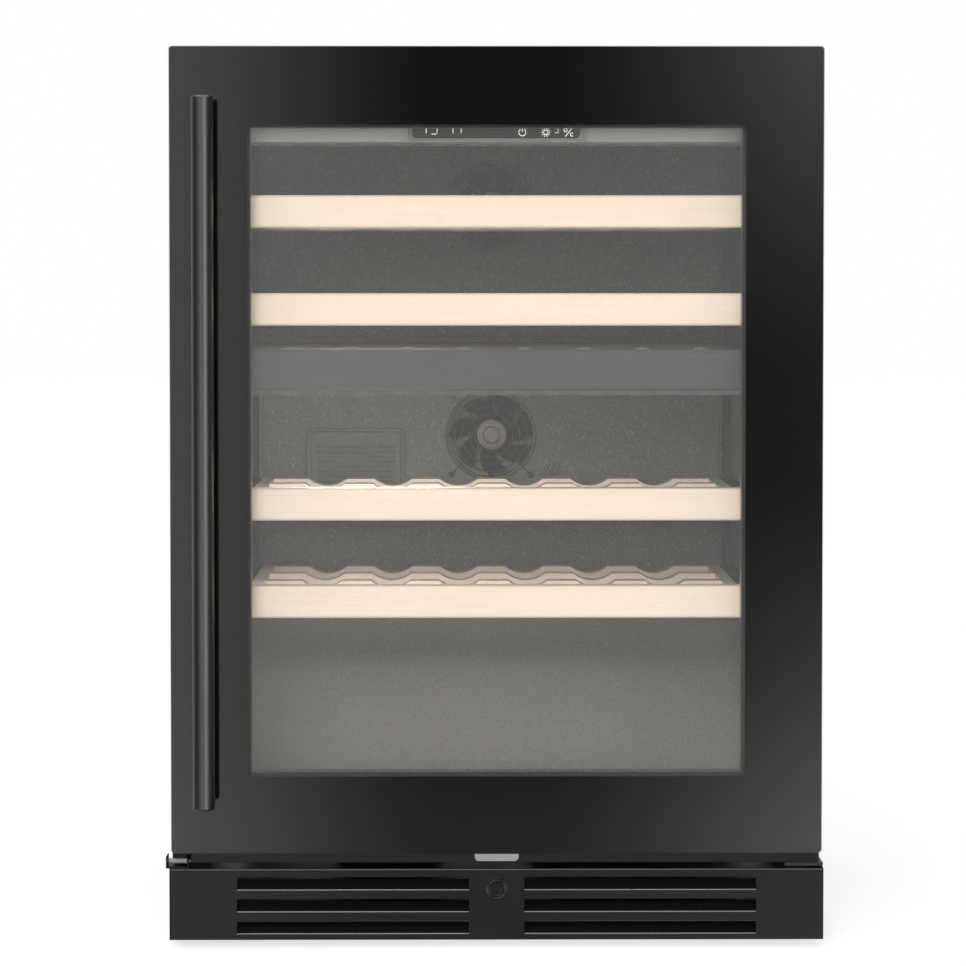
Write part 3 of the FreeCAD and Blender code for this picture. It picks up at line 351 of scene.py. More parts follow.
LOOKS = {
    "clear": clear_glass("door_glass", haze=0.0004, reflect=1.22),
    "pane": clear_glass("inner_pane_glass", haze=0.031, reflect=1.15, film_area=LIP),
    "print": printed_black("black_enamel"),
    "frame": painted_frame("door_frame_black"),
    "spacer": brushed("spacer_bar", (0.10, 0.10, 0.105), 0.5),
    "seal": rubber("gasket_rubber"),
    "coat": coated_metal("black_powder_coat", (0.010, 0.010, 0.0105), 0.36),
    "plinth": plinth_coat("plinth_coat"),
    "wrap": coated_metal("cabinet_coat", (0.016, 0.016, 0.0165), 0.45, peel=300, depth=0.00003),
    "handle": brushed("handle_finish", (0.15, 0.148, 0.145), 0.3, along="z", grain=1800),
    "steel": brushed("bright_steel", (0.53, 0.52, 0.51), 0.3),
    "dark_steel": brushed("dark_steel", (0.2, 0.2, 0.2), 0.35),
    "zinc": brushed("galvanised_sheet", (0.50, 0.51, 0.52), 0.42, along="z", grain=500),
    "pan": coated_metal("base_pan_coat", (0.006, 0.006, 0.006), 0.5),
    "nylon": plastic("bush_nylon", (0.72, 0.71, 0.67), 0.45),
    "lock": plastic("lock_black", (0.0015, 0.0015, 0.0015), 0.07, grain=300, depth=0.000003,
                    edge=0.0004, IOR=1.6),
    # The roller bracket takes a darker copy of the black coat: a painted shade where it sits under the door.
    "bracket": coated_metal("bracket_coat_painted_shade", (0.0022, 0.0022, 0.0022), 0.42, edge=0.0004,
                            **{"Specular IOR Level": 0.25}),
    "foam": foam_block("foam"),
    "liner": speckled("liner_plastic", (0.185, 0.172, 0.155), (0.42, 0.40, 0.37)),
    "duct": speckled("duct_plastic", (0.103, 0.100, 0.097), (0.34, 0.33, 0.32)),
    "divider": speckled("divider_plastic", (0.060, 0.060, 0.060), (0.11, 0.11, 0.11)),
    "track": plastic("track_plastic", (0.028, 0.028, 0.028), 0.5),
    "beech": beech("beech"),
    "fascia": brushed("fascia_steel", (0.49, 0.48, 0.47), 0.36, grain=3200, metal=0.7, Anisotropic=0.6),
    "display": plastic("display_lens", (0.006, 0.006, 0.007), 0.12, grain=200, depth=0.000004),
    "lamp": lit("light_diffuser", (1.0, 0.98, 0.95), 0.04, base=(0.05, 0.05, 0.05)),
    "icon": lit("display_icons", (1.0, 0.98, 0.94), 0.6, pattern=False),
    "diode": lit("light_diodes", (1.0, 0.98, 0.94), 0.09, base=(0.12, 0.12, 0.11), pattern=False),
    "fan": plastic("fan_plastic", (0.004, 0.004, 0.004), 0.34),
    "wire": brushed("guard_wire", (0.22, 0.22, 0.22), 0.3, along="y"),
    "fin": brushed("fin_aluminium", (0.78, 0.79, 0.8), 0.38, along="z"),
    "copper": copper_tube("copper_tube"),
    "compressor": coated_metal("compressor_paint", (0.012, 0.012, 0.012), 0.36, peel=160, depth=0.00008),
    "black": plastic("black_plastic", (0.02, 0.02, 0.02), 0.5),
    "roller": brushed("roller_grey", (0.36, 0.35, 0.34), 0.36, grain=1500, metal=0.4),
    "bezel": plastic("display_bezel", (0.16, 0.16, 0.16), 0.35),
    # Grey metal for the slot lips, far lighter than the black plate: a painted highlight.
    "hem": brushed("hem_painted_highlight", (0.30, 0.30, 0.30), 0.25),
    "dot": plastic("gasket_dots", (0.16, 0.16, 0.16), 0.35),
}

NODE_LOOKS = {
    "clear": ["front_glass"], "pane": ["inner_glass"], "print": ["enamel_border"],
    "frame": ["door_frame"], "spacer": ["glass_spacer"], "seal": ["compressor_grommets"],
    "coat": ["hinge_top_bracket", "hinge_bottom_bracket"], "bracket": ["roller_bracket"],
    "plinth": ["kick_plate"], "wrap": ["cabinet_wrap"], "handle": ["handle_bar", "handle_posts"],
    "steel": ["striker_plate", "hinge_pins", "hinge_screws", "lock_cam"],
    "roller": ["support_roller"], "pan": ["base_pan"],
    "zinc": ["rear_panel", "machine_cover"], "nylon": ["hinge_bushes"],
    "lock": ["lock_housing", "lock_plug"], "foam": ["insulation_foam"], "liner": ["inner_liner"],
    "duct": ["upper_duct_panel", "lower_duct_panel", "filter_cover"], "divider": ["zone_divider"],
    "track": ["shelf_tracks"],
    "beech": [f"shelf_{number}_{part}" for number in (1, 2, 3, 4) for part in ("front", "deck")],
    "fascia": ["control_fascia"], "display": ["control_display"], "lamp": ["led_bars"],
    "fan": ["evaporator_fan_housings", "condenser_fan_housing"],
    "wire": ["evaporator_fan_guards"], "fin": ["evaporator_coils", "condenser_coil"],
    "copper": ["refrigerant_pipes"], "compressor": ["compressor"],
    "black": ["compressor_relay_cover", "drip_tray", "power_inlet", "foot_front_left",
              "foot_front_right", "foot_rear_left", "foot_rear_right"],
}


def dress(piece, look):
    """Give a whole mesh one look."""
    piece.data.materials.clear()
    piece.data.materials.append(LOOKS[look])


for look_name, node_names in NODE_LOOKS.items():
    for node_name in node_names:
        dress(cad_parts[node_name], look_name)


# ---- Mesh helpers ----

def finish_piece(name, mesh, look, body, smooth=40):
    """Turn a bmesh into a piece that rides on a body. Faces that meet at less than the smooth
    angle shade as one."""
    bmesh.ops.recalc_face_normals(mesh, faces=mesh.faces)
    data = bpy.data.meshes.new(name)
    mesh.to_mesh(data)
    mesh.free()
    piece = bpy.data.objects.new(name, data)
    bpy.context.scene.collection.objects.link(piece)
    data.shade_smooth()
    data.set_sharp_from_angle(angle=math.radians(smooth))
    dress(piece, look)
    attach(piece, body)
    return piece


def loft(mesh, rings, closed=True, caps=False):
    """Faces between rings of points. Closed joins the last ring to the first, caps fill the ends."""
    rows = [[mesh.verts.new(point) for point in ring] for ring in rings]
    pairs = list(zip(rows, rows[1:]))
    if closed:
        pairs.append((rows[-1], rows[0]))
    for row, following in pairs:
        for index in range(len(row)):
            after = (index + 1) % len(row)
            mesh.faces.new((row[index], row[after], following[after], following[index]))
    if caps:
        mesh.faces.new(rows[0])
        mesh.faces.new(rows[-1])


def circle(radius, sides):
    angles = [2 * math.pi * step / sides for step in range(sides)]
    return [(radius * math.cos(angle), radius * math.sin(angle)) for angle in angles]


def round_corners(x, z, radius):
    """A rounded rectangle in the XZ plane: points with the outward direction at each."""
    outline, steps = [], 6
    corners = ((x[1], z[1], 0), (x[0], z[1], 90), (x[0], z[0], 180), (x[1], z[0], 270))
    for corner_x, corner_z, begin in corners:
        middle_x = corner_x - math.copysign(radius, corner_x - sum(x) / 2)
        middle_z = corner_z - math.copysign(radius, corner_z - sum(z) / 2)
        for step in range(steps + 1):
            angle = math.radians(begin + 90 * step / steps)
            out = Vector((math.cos(angle), 0, math.sin(angle)))
            outline.append((Vector((middle_x, 0, middle_z)) + out * radius, out))
    return outline


def frame_strip(mesh, x, z, y, radius, section):
    """Sweep a section (outward, along Y) round a rounded rectangle that starts at depth y."""
    rings = [[place + out * across + Vector((0, y + deep, 0)) for across, deep in section]
             for place, out in round_corners(x, z, radius)]
    loft(mesh, rings)


def tube(mesh, points, radius, sides=10):
    """A round tube through points, with flat ends."""
    points = [Vector(point) for point in points]
    rings = []
    for index, point in enumerate(points):
        before, after = points[max(index - 1, 0)], points[min(index + 1, len(points) - 1)]
        turn = (after - before).to_track_quat("Z", "Y")
        rings.append([point + turn @ Vector((u, v, 0)) for u, v in circle(radius, sides)])
    loft(mesh, rings, closed=False, caps=True)


def lathe(mesh, profile, place, axis="Y", sides=24, ring=False):
    """A solid turned about an axis through a place, from (radius, along) points. A ring's section
    closes on itself round an open bore."""
    turn = {"Y": Matrix.Rotation(math.radians(-90), 4, "X"), "Z": Matrix(),
            "X": Matrix.Rotation(math.radians(90), 4, "Y")}[axis]
    rings = []
    for radius, along in profile:
        rings.append([Vector(place) + turn @ Vector((u, v, along)) for u, v in circle(radius, sides)])
    loft(mesh, rings, closed=ring, caps=not ring)


def pan_head(mesh, place, radius, tall, sign=-1):
    """A screw head with a round recess, its underside at the place and its crown along Y."""
    crown = [(radius, 0), (radius * 0.98, tall * 0.45), (radius * 0.78, tall * 0.85), (radius * 0.4, tall)]
    hollow = [(radius * 0.38, tall), (radius * 0.22, tall * 0.45)]
    lathe(mesh, [(wide, sign * along) for wide, along in crown + hollow], place, sides=16)


# ---- Door: the print behind the glass, and the gasket's bellows ----

def make_print():
    """The black enamel: a thin layer a hair behind the glass, so that light meets one then the other."""
    low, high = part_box("enamel_border")
    pane_low, pane_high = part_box("inner_glass")
    inset, hair, corner, window_corner = 12.2 * MM, 0.06 * MM, 3 * MM, 0.4 * MM
    rear, face = high.y, low.y + hair
    outer = round_corners((low.x, high.x), (low.z, high.z), corner)
    inner = round_corners((pane_low.x + inset, pane_high.x - inset),
                          (pane_low.z + inset, pane_high.z - inset), window_corner)
    rings = [[Vector((edge[0].x, y, edge[0].z)) for edge, y in
              ((wide, face), (tight, face), (tight, rear), (wide, rear))]
             for wide, tight in zip(outer, inner)]
    mesh = bmesh.new()
    loft(mesh, rings)
    layer = finish_piece("enamel_print", mesh, "print", "door", smooth=20)
    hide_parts("enamel_border")


def make_gasket():
    """The magnetic gasket: a root in the frame, one pleat, and the magnet's pocket behind it."""
    low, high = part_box("door_gasket")
    wide, deep, corner = 12 * MM, high.y - low.y, 8 * MM
    half_section = [(0.20, 0.0), (0.12, 0.13), (0.24, 0.26), (0.04, 0.42), (0.0, 0.68), (0.05, 0.93),
                    (0.14, 1.0)]
    section = [(-wide * u, deep * v) for u, v in half_section]
    section += [(-wide * (1 - u), deep * v) for u, v in reversed(half_section)]
    mesh = bmesh.new()
    frame_strip(mesh, (low.x, high.x), (low.z, high.z), low.y, corner, section)
    gasket = finish_piece("gasket_bellows", mesh, "seal", "door", smooth=50)
    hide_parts("door_gasket")


# ---- Controls and kick plate: icons, trims, rolled edges, the lock's collar and the diodes ----

def seven_segments(digit, x, z, tall):
    """The strokes of a seven-segment digit whose lower left corner is at x, z."""
    wide, gap = tall * 0.5, tall * 0.06
    spots = {"a": ((0, 2), (1, 2)), "b": ((1, 2), (1, 1)), "c": ((1, 1), (1, 0)), "d": ((0, 0), (1, 0)),
             "e": ((0, 1), (0, 0)), "f": ((0, 2), (0, 1)), "g": ((0, 1), (1, 1))}
    lit_parts = {1: "bc", 5: "afgcd"}[digit]
    strokes = []
    for part in lit_parts:
        start, end = (Vector((x + u * wide, 0, z + v * tall / 2)) for u, v in spots[part])
        along = (end - start).normalized() * gap
        strokes.append([start + along, end - along])
    return strokes


def make_icons():
    """Digits for the two zones, a power sign, a lamp sign, a corner mark and a unit sign."""
    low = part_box("control_display")[0]
    level = low.z + 7.4 * MM
    digit_low, digit_tall, stroke_radius, stroke_depth = level - 1.6 * MM, 12 * MM, 0.42 * MM, 0.12 * MM
    strokes = []
    for x, digit in ((-70, 1), (-60, 5), (-45.5, 1), (-38, 1)):
        strokes += seven_segments(digit, x * MM, digit_low, digit_tall)

    def arc(x, z, radius, begin, end, steps=20):
        angles = [math.radians(begin + (end - begin) * step / steps) for step in range(steps + 1)]
        return [Vector((x + radius * math.cos(a), 0, z + radius * math.sin(a))) for a in angles]

    power_x, lamp_x, corner_x, unit_x = 24 * MM, 45.5 * MM, 55.5 * MM, 66 * MM
    strokes.append(arc(power_x, level, 3.2 * MM, 125, 415))
    strokes.append([Vector((power_x, 0, level + 0.4 * MM)), Vector((power_x, 0, level + 3.6 * MM))])
    strokes.append(arc(lamp_x, level, 2.0 * MM, 0, 360))
    middle, rays = Vector((lamp_x, 0, level)), 10
    for across, upward in circle(1, rays):
        out = Vector((across, 0, upward))
        strokes.append([middle + out * 2.8 * MM, middle + out * 4.2 * MM])
    strokes.append([Vector((corner_x - 1.6 * MM, 0, level - 0.4 * MM)),
                    Vector((corner_x + 1.2 * MM, 0, level - 0.4 * MM)),
                    Vector((corner_x + 1.2 * MM, 0, level + 3 * MM))])
    strokes.append([Vector((unit_x - 2.6 * MM, 0, level - 3.8 * MM)),
                    Vector((unit_x + 3.4 * MM, 0, level + 3.8 * MM))])
    strokes.append(arc(unit_x - 2.4 * MM, level + 2 * MM, 1.5 * MM, 0, 360))
    strokes.append(arc(unit_x + 3.4 * MM, level - 2 * MM, 1.5 * MM, 50, 310))
    mesh = bmesh.new()
    for stroke in strokes:
        set_back = [point + Vector((0, low.y + stroke_depth, 0)) for point in stroke]
        tube(mesh, set_back, stroke_radius, sides=8)
    finish_piece("display_icons", mesh, "icon", "cabinet")


def make_bezel():
    """The trim that the display's lens sits in."""
    low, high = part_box("control_display")
    mesh = bmesh.new()
    set_back, corner = 1 * MM, 3 * MM
    section = [(0.0, 0.9 * MM), (0.0, -0.1 * MM), (-1.2 * MM, -0.5 * MM), (-3.4 * MM, -0.5 * MM),
               (-4.2 * MM, 0.0), (-4.2 * MM, 0.9 * MM)]
    frame_strip(mesh, (low.x, high.x), (low.z, high.z), low.y + set_back, corner, section)
    finish_piece("display_trim", mesh, "bezel", "cabinet", smooth=60)


def make_fascia_lip():
    """The rolled lower edge of the control fascia, and the bright edges beside the display."""
    low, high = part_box("control_fascia")
    display_low, display_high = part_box("control_display")
    mesh = bmesh.new()
    inset, roll, edge, beside = 1.5 * MM, 0.75 * MM, 0.7 * MM, 2.4 * MM
    roll_y, edge_y = low.y + 0.5 * MM, low.y + 0.3 * MM
    tube(mesh, [(x, roll_y, low.z + roll) for x in (low.x + inset, high.x - inset)], roll, 12)
    for x in (display_low.x - beside, display_high.x + beside):
        tube(mesh, [(x, edge_y, z) for z in (low.z + 1.6 * MM, high.z - 2 * MM)], edge, 12)
    finish_piece("fascia_lip", mesh, "steel", "cabinet", smooth=60)


def make_hems():
    """Rounded edges that catch the light, in grey metal far lighter than the black plate as a painted
    highlight: every slot's lower lip, the lowest slots' upper lips, and the kick plate's top fold."""
    low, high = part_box("kick_plate")
    radius = 0.9 * MM
    lip_y = low.y + radius - 0.1 * MM
    slot_inner, slot_outer = 25.2 * MM, high.x - 61.5 * MM
    first_slot, pitch, tall = low.z + 5.3 * MM, 20 * MM, 12 * MM
    mesh = bmesh.new()
    for row in range(3):
        for side in (-1, 1):
            ends = sorted((side * slot_inner, side * slot_outer))
            z = first_slot + pitch * row
            tube(mesh, [(x, lip_y, z) for x in ends], radius, 12)
            if row == 0:
                tube(mesh, [(x, lip_y, z + tall) for x in ends], radius * 0.8, 12)
    finish_piece("slot_lips", mesh, "hem", "cabinet", smooth=60)
    mesh = bmesh.new()
    inset, fold = 1.2 * MM, 1.1 * MM
    fold_y, fold_z = low.y + 0.95 * MM, high.z - 1.05 * MM
    tube(mesh, [(x, fold_y, fold_z) for x in (low.x + inset, high.x - inset)], fold, 14)
    # The fold is grey steel on the black plate: a painted highlight along its top.
    finish_piece("kick_plate_fold", mesh, "dark_steel", "cabinet", smooth=60)


def make_lock_collar():
    """The lock's collar: a rounded rim, a groove, and a raised ring round the plug. Its section is
    in millimetres, across from the rim and along from the front."""
    low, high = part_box("lock_housing")
    middle = (low + high) / 2
    rim = (high.x - low.x) / 2
    deep = (high.y - low.y) / MM
    section = [(-4.4, deep), (-4.4, 0.9), (-4.15, 0.35), (-3.6, 0.08), (-3.05, 0.2), (-2.7, 0.62),
               (-1.95, 0.66), (-1.55, 0.3), (-1.05, 0.04), (-0.45, 0.12), (-0.1, 0.5), (0.0, 1.0),
               (0.0, 1.75), (-1.7, 1.8), (-1.7, deep)]
    mesh = bmesh.new()
    lathe(mesh, [(rim + across * MM, along * MM) for across, along in section],
          (middle.x, low.y, middle.z), sides=64, ring=True)
    collar = finish_piece("lock_collar", mesh, "lock", "cabinet", smooth=60)
    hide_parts("lock_housing")


def make_diodes():
    """A row of small eight-sided diodes under each light bar."""
    low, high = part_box("led_bars")
    divider_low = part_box("zone_divider")[0]
    ceiling_bar = (high.y - 6 * MM, high.z - 4.35 * MM)
    divider_bar = (low.y + 5 * MM, divider_low.z - 4.55 * MM)
    mesh = bmesh.new()
    count = 24
    profile = [(1.5 * MM, 0), (1.4 * MM, -0.35 * MM), (0.9 * MM, -0.5 * MM)]
    for y, z in (ceiling_bar, divider_bar):
        for number in range(count):
            x = low.x + (high.x - low.x) * (number + 0.5) / count
            lathe(mesh, profile, (x, y, z), "Z", 8)
    finish_piece("light_diodes", mesh, "diode", "cabinet")


# ---- Inside: duct panels, grilles, stops and screws ----

def make_duct_beads():
    """A raised bead inside the edge of each duct panel and round the filter cover."""
    mesh = bmesh.new()
    for name, inset, corner, thick in (("upper_duct_panel", 4, 8, 1.2), ("lower_duct_panel", 4, 8, 1.2),
                                       ("filter_cover", 4, 5, 0.9)):
        low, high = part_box(name)
        x = (low.x + inset * MM, high.x - inset * MM)
        z = (low.z + inset * MM, high.z - inset * MM)
        frame_strip(mesh, x, z, low.y, corner * MM, circle(thick * MM, 8))
    finish_piece("duct_beads", mesh, "duct", "cabinet", smooth=60)


def make_sensor_grilles():
    """On the lower duct panel, a small framed cover with upright slats, and a row of slanted ones."""
    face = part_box("lower_duct_panel")[0].y
    fan_low, fan_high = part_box("lower_fan_rotor")
    fan_z = (fan_low.z + fan_high.z) / 2
    mesh = bmesh.new()
    slat, slat_y = 0.9 * MM, face - 1.2 * MM
    x, z, half_wide, half_tall, half_slat = 170 * MM, fan_z - 88 * MM, 17 * MM, 9 * MM, 7 * MM
    plate = [(0.0, 0.0), (0.0, -1.6 * MM), (-1.2 * MM, -2.4 * MM), (-2.4 * MM, -2.4 * MM), (-2.4 * MM, 0.0)]
    frame_strip(mesh, (x - half_wide, x + half_wide), (z - half_tall, z + half_tall), face, 3 * MM, plate)
    for number in range(7):
        slat_x = x + (number - 3) * 4 * MM
        tube(mesh, [(slat_x, slat_y, z - half_slat), (slat_x, slat_y, z + half_slat)], slat, 8)
    x, z, slat_y, lean, tall = 52 * MM, fan_z - 42 * MM, face - 0.8 * MM, 5 * MM, 12 * MM
    for number in range(5):
        slat_x = x + number * 3.6 * MM
        tube(mesh, [(slat_x, slat_y, z), (slat_x + lean, slat_y, z + tall)], slat, 8)
    finish_piece("sensor_grilles", mesh, "duct", "cabinet", smooth=60)


def make_bottle_stops():
    """Soft bumps along the front of the divider's top that stop a bottle rolling."""
    low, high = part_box("zone_divider")
    mesh = bmesh.new()
    count, pitch, set_back = 8, 54 * MM, 22 * MM
    profile = [(7 * MM, -0.3 * MM), (6.4 * MM, 0.9 * MM), (4.4 * MM, 1.9 * MM), (1.8 * MM, 2.4 * MM)]
    for number in range(count):
        x = (number - (count - 1) / 2) * pitch
        lathe(mesh, profile, (x, low.y + set_back, high.z), "Z", 20)
    finish_piece("bottle_stops", mesh, "dot", "cabinet")


def make_inner_screws():
    """Screws: four at each fan guard, and one in each corner of the duct panels."""
    mesh = bmesh.new()
    guard_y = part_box("evaporator_fan_guards")[0].y + 0.3 * MM
    reach, inset = 41.25 * MM, 13 * MM
    for zone in ("upper", "lower"):
        low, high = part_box(f"{zone}_fan_rotor")
        middle_x, middle_z = (low.x + high.x) / 2, (low.z + high.z) / 2
        for side_x in (-1, 1):
            for side_z in (-1, 1):
                place = (middle_x + side_x * reach, guard_y, middle_z + side_z * reach)
                pan_head(mesh, place, 2.6 * MM, 1.1 * MM)
        low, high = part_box(f"{zone}_duct_panel")
        for x in (low.x + inset, high.x - inset):
            for z in (low.z + inset, high.z - inset):
                pan_head(mesh, (x, low.y, z), 3 * MM, 1.2 * MM)
    finish_piece("inner_screws", mesh, "dark_steel", "cabinet", smooth=30)


# ---- Fan rotors ----

def make_rotor(zone):
    """A moulded rotor: a cupped hub and blades that sweep forward and flatten towards the tip."""
    node_name = f"{zone}_fan_rotor"
    low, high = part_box(node_name)
    middle = (low + high) / 2
    tip = (high.x - low.x) / 2
    hub, front, deep = tip * 0.44, low.y, high.y - low.y
    mesh = bmesh.new()
    cup = [(hub * 0.5, 0.0), (hub * 0.52, 0.6 * MM), (hub * 0.86, 0.6 * MM), (hub * 0.9, 0.0),
           (hub * 0.97, 0.4 * MM), (hub, 1.6 * MM), (hub, deep * 0.96), (hub * 0.94, deep)]
    lathe(mesh, [(0.4 * MM, 0.9 * MM)] + cup + [(hub * 0.3, deep)], (middle.x, front, middle.z), sides=56)
    blades, rows, columns, thick, camber = 7, 10, 9, 1.1 * MM, 1.6 * MM
    root = hub - 1 * MM
    for blade in range(blades):
        start = 2 * math.pi * blade / blades
        sides = []
        for side in (-0.5, 0.5):
            surface = []
            for row in range(rows + 1):
                share = row / rows
                radius = root + (tip - root) * share
                lean = 0.38 * share ** 1.4
                reach = 0.36 - 0.05 * share - 0.08 * max(0.0, share - 0.8) * 5
                pitch = deep * (0.40 - 0.12 * share)
                line = []
                for column in range(columns + 1):
                    across = 2 * column / columns - 1
                    angle = start + lean + reach * across
                    y = front + deep * 0.5 + pitch * across + camber * (1 - across * across)
                    shape = thick * (1 - 0.6 * abs(across) ** 3)
                    place = Vector((middle.x + radius * math.cos(angle), y + side * shape,
                                    middle.z + radius * math.sin(angle)))
                    line.append(place)
                surface.append(line)
            sides.append(surface)
        rings = [front_line + back_line[::-1] for front_line, back_line in zip(*sides)]
        loft(mesh, rings, closed=False, caps=True)
    rotor = finish_piece(f"{zone}_fan_blades", mesh, "fan", f"{zone}_fan", smooth=45)
    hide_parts(node_name)


def make_hub_discs():
    """A plain foil disc over the front of each cold-side rotor's hub."""
    for zone in ("upper", "lower"):
        low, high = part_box(f"{zone}_fan_rotor")
        middle = (low + high) / 2
        hub = (high.x - low.x) * 0.22
        mesh = bmesh.new()
        lathe(mesh, [(hub * 0.2, -0.05 * MM), (hub * 0.84, -0.05 * MM), (hub * 0.86, 0.3 * MM),
                     (hub * 0.2, 0.4 * MM)], (middle.x, low.y + 0.15 * MM, middle.z), sides=40)
        finish_piece(f"{zone}_hub_disc", mesh, "steel", f"{zone}_fan")


# ---- Outside: the rear panel's ribs and screws, and the roller's small parts ----

def make_rear():
    """Two pressed frames of rib on the rear panel, and the screws that hold it and the machine cover."""
    low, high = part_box("rear_panel")
    cover_low, cover_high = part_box("machine_cover")
    mesh = bmesh.new()
    inset, over_cover, half_gap, corner, rib = 46 * MM, 40 * MM, 14 * MM, 22 * MM, 2.2 * MM
    rib_y = high.y - 1.4 * MM
    bottom, top = cover_high.z + over_cover, high.z - inset
    middle = (bottom + top) / 2
    for span in ((bottom, middle - half_gap), (middle + half_gap, top)):
        frame_strip(mesh, (low.x + inset, high.x - inset), span, rib_y, corner, circle(rib, 10))
    finish_piece("rear_panel_ribs", mesh, "zinc", "cabinet", smooth=60)

    edge, head, tall, low_head = 12 * MM, 3.6 * MM, 1.0 * MM, 0.6 * MM
    sides, columns = (low.x + edge, high.x - edge), (low.x + edge, low.x / 3, high.x / 3, high.x - edge)
    places = [(x, z) for x in columns for z in (high.z - edge, cover_high.z + 16 * MM)]
    side_heights = (400 * MM, 550 * MM)
    places += [(x, z) for z in side_heights for x in sides]
    mesh = bmesh.new()
    for x, z in places:
        pan_head(mesh, (x, high.y, z), head, tall, sign=1)
    for x in (cover_low.x + 9 * MM, 0.0, cover_high.x - 9 * MM):
        for z in (cover_low.z + 8 * MM, cover_high.z - 8 * MM):
            pan_head(mesh, (x, cover_high.y - low_head, z), head, low_head, sign=1)
    finish_piece("rear_screws", mesh, "steel", "cabinet", smooth=30)


def make_roller_details():
    """Fine knurling along the roller, a pale washer at its inner end, and the axle's ends."""
    low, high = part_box("support_roller")
    middle = (low + high) / 2
    radius = (high.z - low.z) / 2
    mesh = bmesh.new()
    ribs, rib, inset = 18, 0.2 * MM, 0.6 * MM
    for out_y, out_z in circle(radius, ribs):
        y, z = middle.y + out_y, middle.z + out_z
        tube(mesh, [(x, y, z) for x in (low.x + inset, high.x - inset)], rib, 8)
    finish_piece("roller_ribs", mesh, "roller", "roller")
    mesh = bmesh.new()
    lathe(mesh, [(radius * 0.5, 0.0), (radius * 1.02, 0.0), (radius * 1.06, 0.2 * MM),
                 (radius * 1.02, 0.45 * MM), (radius * 0.5, 0.45 * MM)],
          (high.x - 0.4 * MM, middle.y, middle.z), "X", 28, ring=True)
    finish_piece("roller_washer", mesh, "nylon", "roller")
    bracket_low, bracket_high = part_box("roller_bracket")
    mesh = bmesh.new()
    lathe(mesh, [(1.3 * MM, 0), (1.1 * MM, 0.6 * MM), (0.5 * MM, 0.9 * MM)],
          (bracket_high.x, middle.y, middle.z), "X", 16)
    lathe(mesh, [(1.5 * MM, 0), (1.3 * MM, -0.7 * MM), (0.6 * MM, -1.0 * MM)],
          (bracket_low.x, middle.y, middle.z), "X", 16)
    finish_piece("roller_axle_ends", mesh, "nylon", "cabinet")


make_print()
make_gasket()
make_icons()
make_bezel()
make_fascia_lip()
make_lock_collar()
make_hems()
make_diodes()
make_duct_beads()
make_sensor_grilles()
make_bottle_stops()
make_inner_screws()
for fan_zone in ("upper", "lower", "condenser"):
    make_rotor(fan_zone)
make_hub_discs()
make_rear()
make_roller_details()


# ---- Camera: the door seen almost square on, from a little left of its middle ----

def make_camera():
    distance, left, eye_height = 3.4, 0.042, 0.606
    tilt_down, turn_right = 2.328, 0.498
    data = bpy.data.cameras.new("camera")
    data.lens = 140.26
    data.shift_y = -0.05
    camera = bpy.data.objects.new("camera", data)
    camera.location = (-left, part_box("front_glass")[0].y - distance, eye_height)
    camera.rotation_euler = (math.radians(90 - tilt_down), 0, math.radians(-turn_right))
    bpy.context.scene.collection.objects.link(camera)
    bpy.context.scene.camera = camera


# ---- Studio: a pale floor, a soft surround, a soft sun, two lamps and the lower zone's own ----

def make_floor():
    bpy.ops.mesh.primitive_plane_add(size=40)
    floor = bpy.context.object
    floor.name = "floor"
    look = Look("studio_floor", Roughness=0.9)
    look.set(look.shader, {
        "Base Color": look.mixed(look.noise(0.7), color(0.40, 0.40, 0.40), color(0.42, 0.42, 0.42)),
        "Emission Color": color(1, 1, 1), "Emission Strength": 0.72})
    floor.data.materials.append(look.material)
    floor.visible_glossy = False


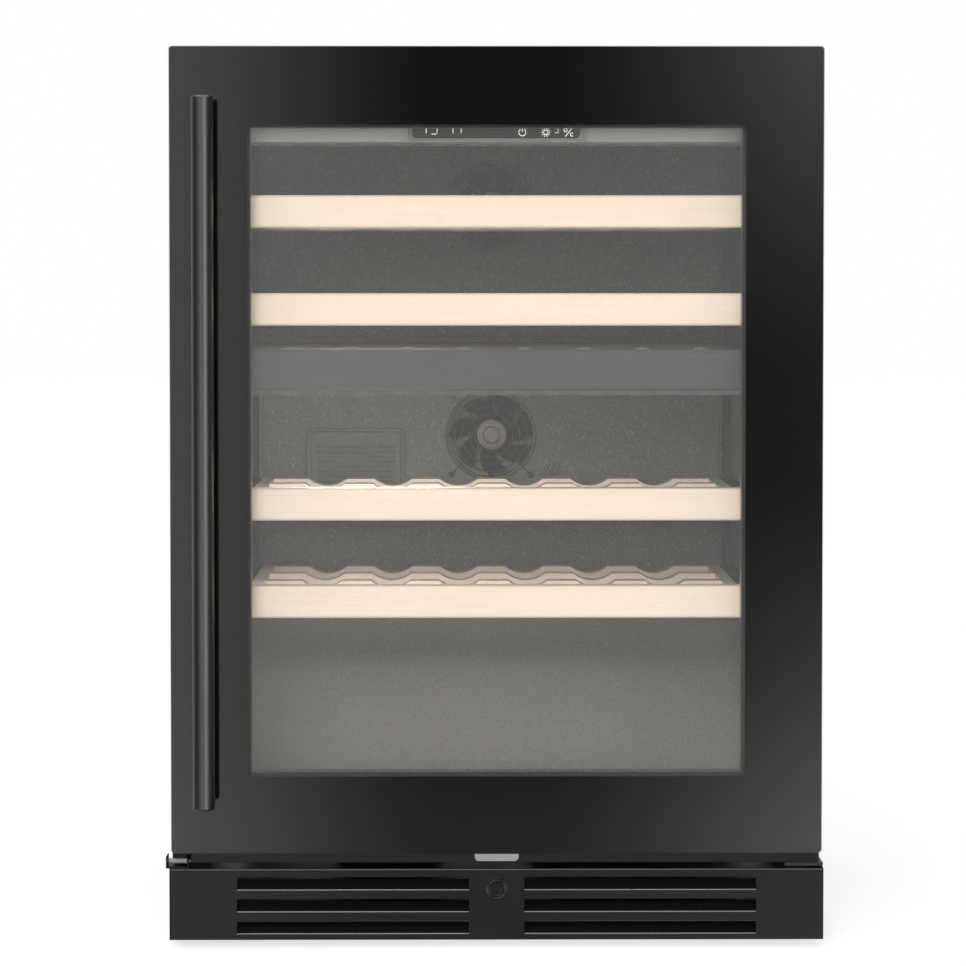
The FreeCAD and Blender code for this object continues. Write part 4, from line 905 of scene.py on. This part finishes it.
def make_world():
    """White to the camera, and a soft grey room for diffuse light. What the object mirrors is dim,
    with glows in front of the door, a wide box at each side, a lit ceiling and a lit wall behind.
    Across and upward say how far a reflection points sideways and up for each metre ahead."""
    world = bpy.data.worlds.new("studio")
    bpy.context.scene.world = world
    world.use_nodes = True
    tree = world.node_tree
    links = tree.links

    def feed(node, values):
        for index, value in values.items():
            if isinstance(value, bpy.types.NodeSocket):
                links.new(value, node.inputs[index])
            else:
                node.inputs[index].default_value = value
        return node.outputs[0]

    def op(kind, first, second):
        node = tree.nodes.new("ShaderNodeMath")
        node.operation = kind
        return feed(node, {0: first, 1: second})

    def either(chosen, otherwise, instead):
        return feed(tree.nodes.new("ShaderNodeMix"), {0: chosen, 2: otherwise, 3: instead})

    def ramp(value, start, end, low=0.0, high=1.0):
        node = tree.nodes.new("ShaderNodeMapRange")
        node.interpolation_type = "SMOOTHSTEP"
        links.new(value, node.inputs["Value"])
        for name, amount in zip(("From Min", "From Max", "To Min", "To Max"), (start, end, low, high)):
            node.inputs[name].default_value = amount
        return node.outputs["Result"]

    split = tree.nodes.new("ShaderNodeSeparateXYZ")
    links.new(tree.nodes.new("ShaderNodeTexCoord").outputs["Generated"], split.inputs[0])
    ahead = op("MAXIMUM", op("MULTIPLY", split.outputs["Y"], -1.0), 0.05)
    across = op("DIVIDE", split.outputs["X"], ahead)
    upward = op("DIVIDE", split.outputs["Z"], ahead)
    in_front = ramp(ahead, 0.9, 0.97)
    room = ramp(ahead, 0.86, 0.975, 0.5, 0.3)
    left = op("MULTIPLY", ramp(across, 0.0, -0.105, 0.0, 1.24), ramp(across, -0.19, -0.115))
    right = op("MULTIPLY", ramp(across, 0.02, 0.155), ramp(across, 0.21, 0.13))
    high = ramp(upward, -0.03, 0.09, 0.18, 1.55)
    low = ramp(upward, -0.045, -0.18, 0.0, 1.75)
    low_middle = ramp(upward, -0.10, -0.16, 0.0, 0.23)
    glow = op("ADD", op("ADD", left, low_middle), op("MULTIPLY", right, op("ADD", high, low)))
    mirrored = op("ADD", op("MULTIPLY", glow, in_front), ramp(ahead, 0.86, 0.975, 0.15, 0.08))
    turn = op("MULTIPLY", op("ARCTAN2", split.outputs["X"], ahead), 180 / math.pi)
    right_box = op("MULTIPLY", ramp(turn, 7, 24, 0.0, 1.75), ramp(turn, 62, 34))
    left_box = op("MULTIPLY", ramp(turn, -65, -15, 0.0, 0.6), ramp(turn, -6, -10))
    boxes = op("MULTIPLY", op("ADD", right_box, left_box),
               op("MULTIPLY", ramp(upward, -0.45, -0.2), ramp(upward, 0.4, 0.2)))
    overhead = ramp(split.outputs["Z"], 0.72, 0.9, 0.0, 1.1)
    behind = ramp(split.outputs["Y"], -0.05, 0.5, 0.0, 0.45)
    mirrored = op("ADD", op("ADD", mirrored, behind), op("ADD", boxes, overhead))
    path = tree.nodes.new("ShaderNodeLightPath")
    strength = either(path.outputs["Is Glossy Ray"], room, mirrored)
    strength = either(path.outputs["Is Camera Ray"], strength, 1.0)
    links.new(strength, tree.nodes["Background"].inputs["Strength"])
    tree.nodes["Background"].inputs["Color"].default_value = (1, 1, 1, 1)


def make_lamp(name, place, aim, size, power):
    """A round lamp that lights the object and isn't mirrored in it."""
    data = bpy.data.lights.new(name, "AREA")
    data.shape = "DISK"
    data.size = size
    data.energy = power
    lamp = bpy.data.objects.new(name, data)
    lamp.location = place
    lamp.rotation_euler = (Vector(aim) - Vector(place)).to_track_quat("-Z", "Y").to_euler()
    lamp.visible_camera = False
    lamp.visible_glossy = False
    bpy.context.scene.collection.objects.link(lamp)


def make_lights():
    sun = bpy.data.lights.new("overhead", "SUN")
    sun.energy = 0.7
    sun.angle = math.radians(70)
    overhead = bpy.data.objects.new("overhead", sun)
    overhead.rotation_euler = (math.radians(38), math.radians(-22), 0)
    bpy.context.scene.collection.objects.link(overhead)
    front_middle, wide = (0, -0.2, 0.42), 1.2
    make_lamp("key", (-0.45, -3.6, 1.25), front_middle, wide, 98)
    make_lamp("fill", (0.6, -3.6, 0.8), front_middle, wide, 18)
    divider_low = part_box("zone_divider")[0]
    left, back, z = -0.11, 0.2, divider_low.z - 12 * MM
    make_lamp("zone_light", (left, divider_low.y + 30 * MM, z), (left, back, z - 70 * MM), 0.2, 1.5)


make_camera()
make_floor()
make_world()
make_lights()
bpy.context.scene.view_settings.view_transform = "Standard"
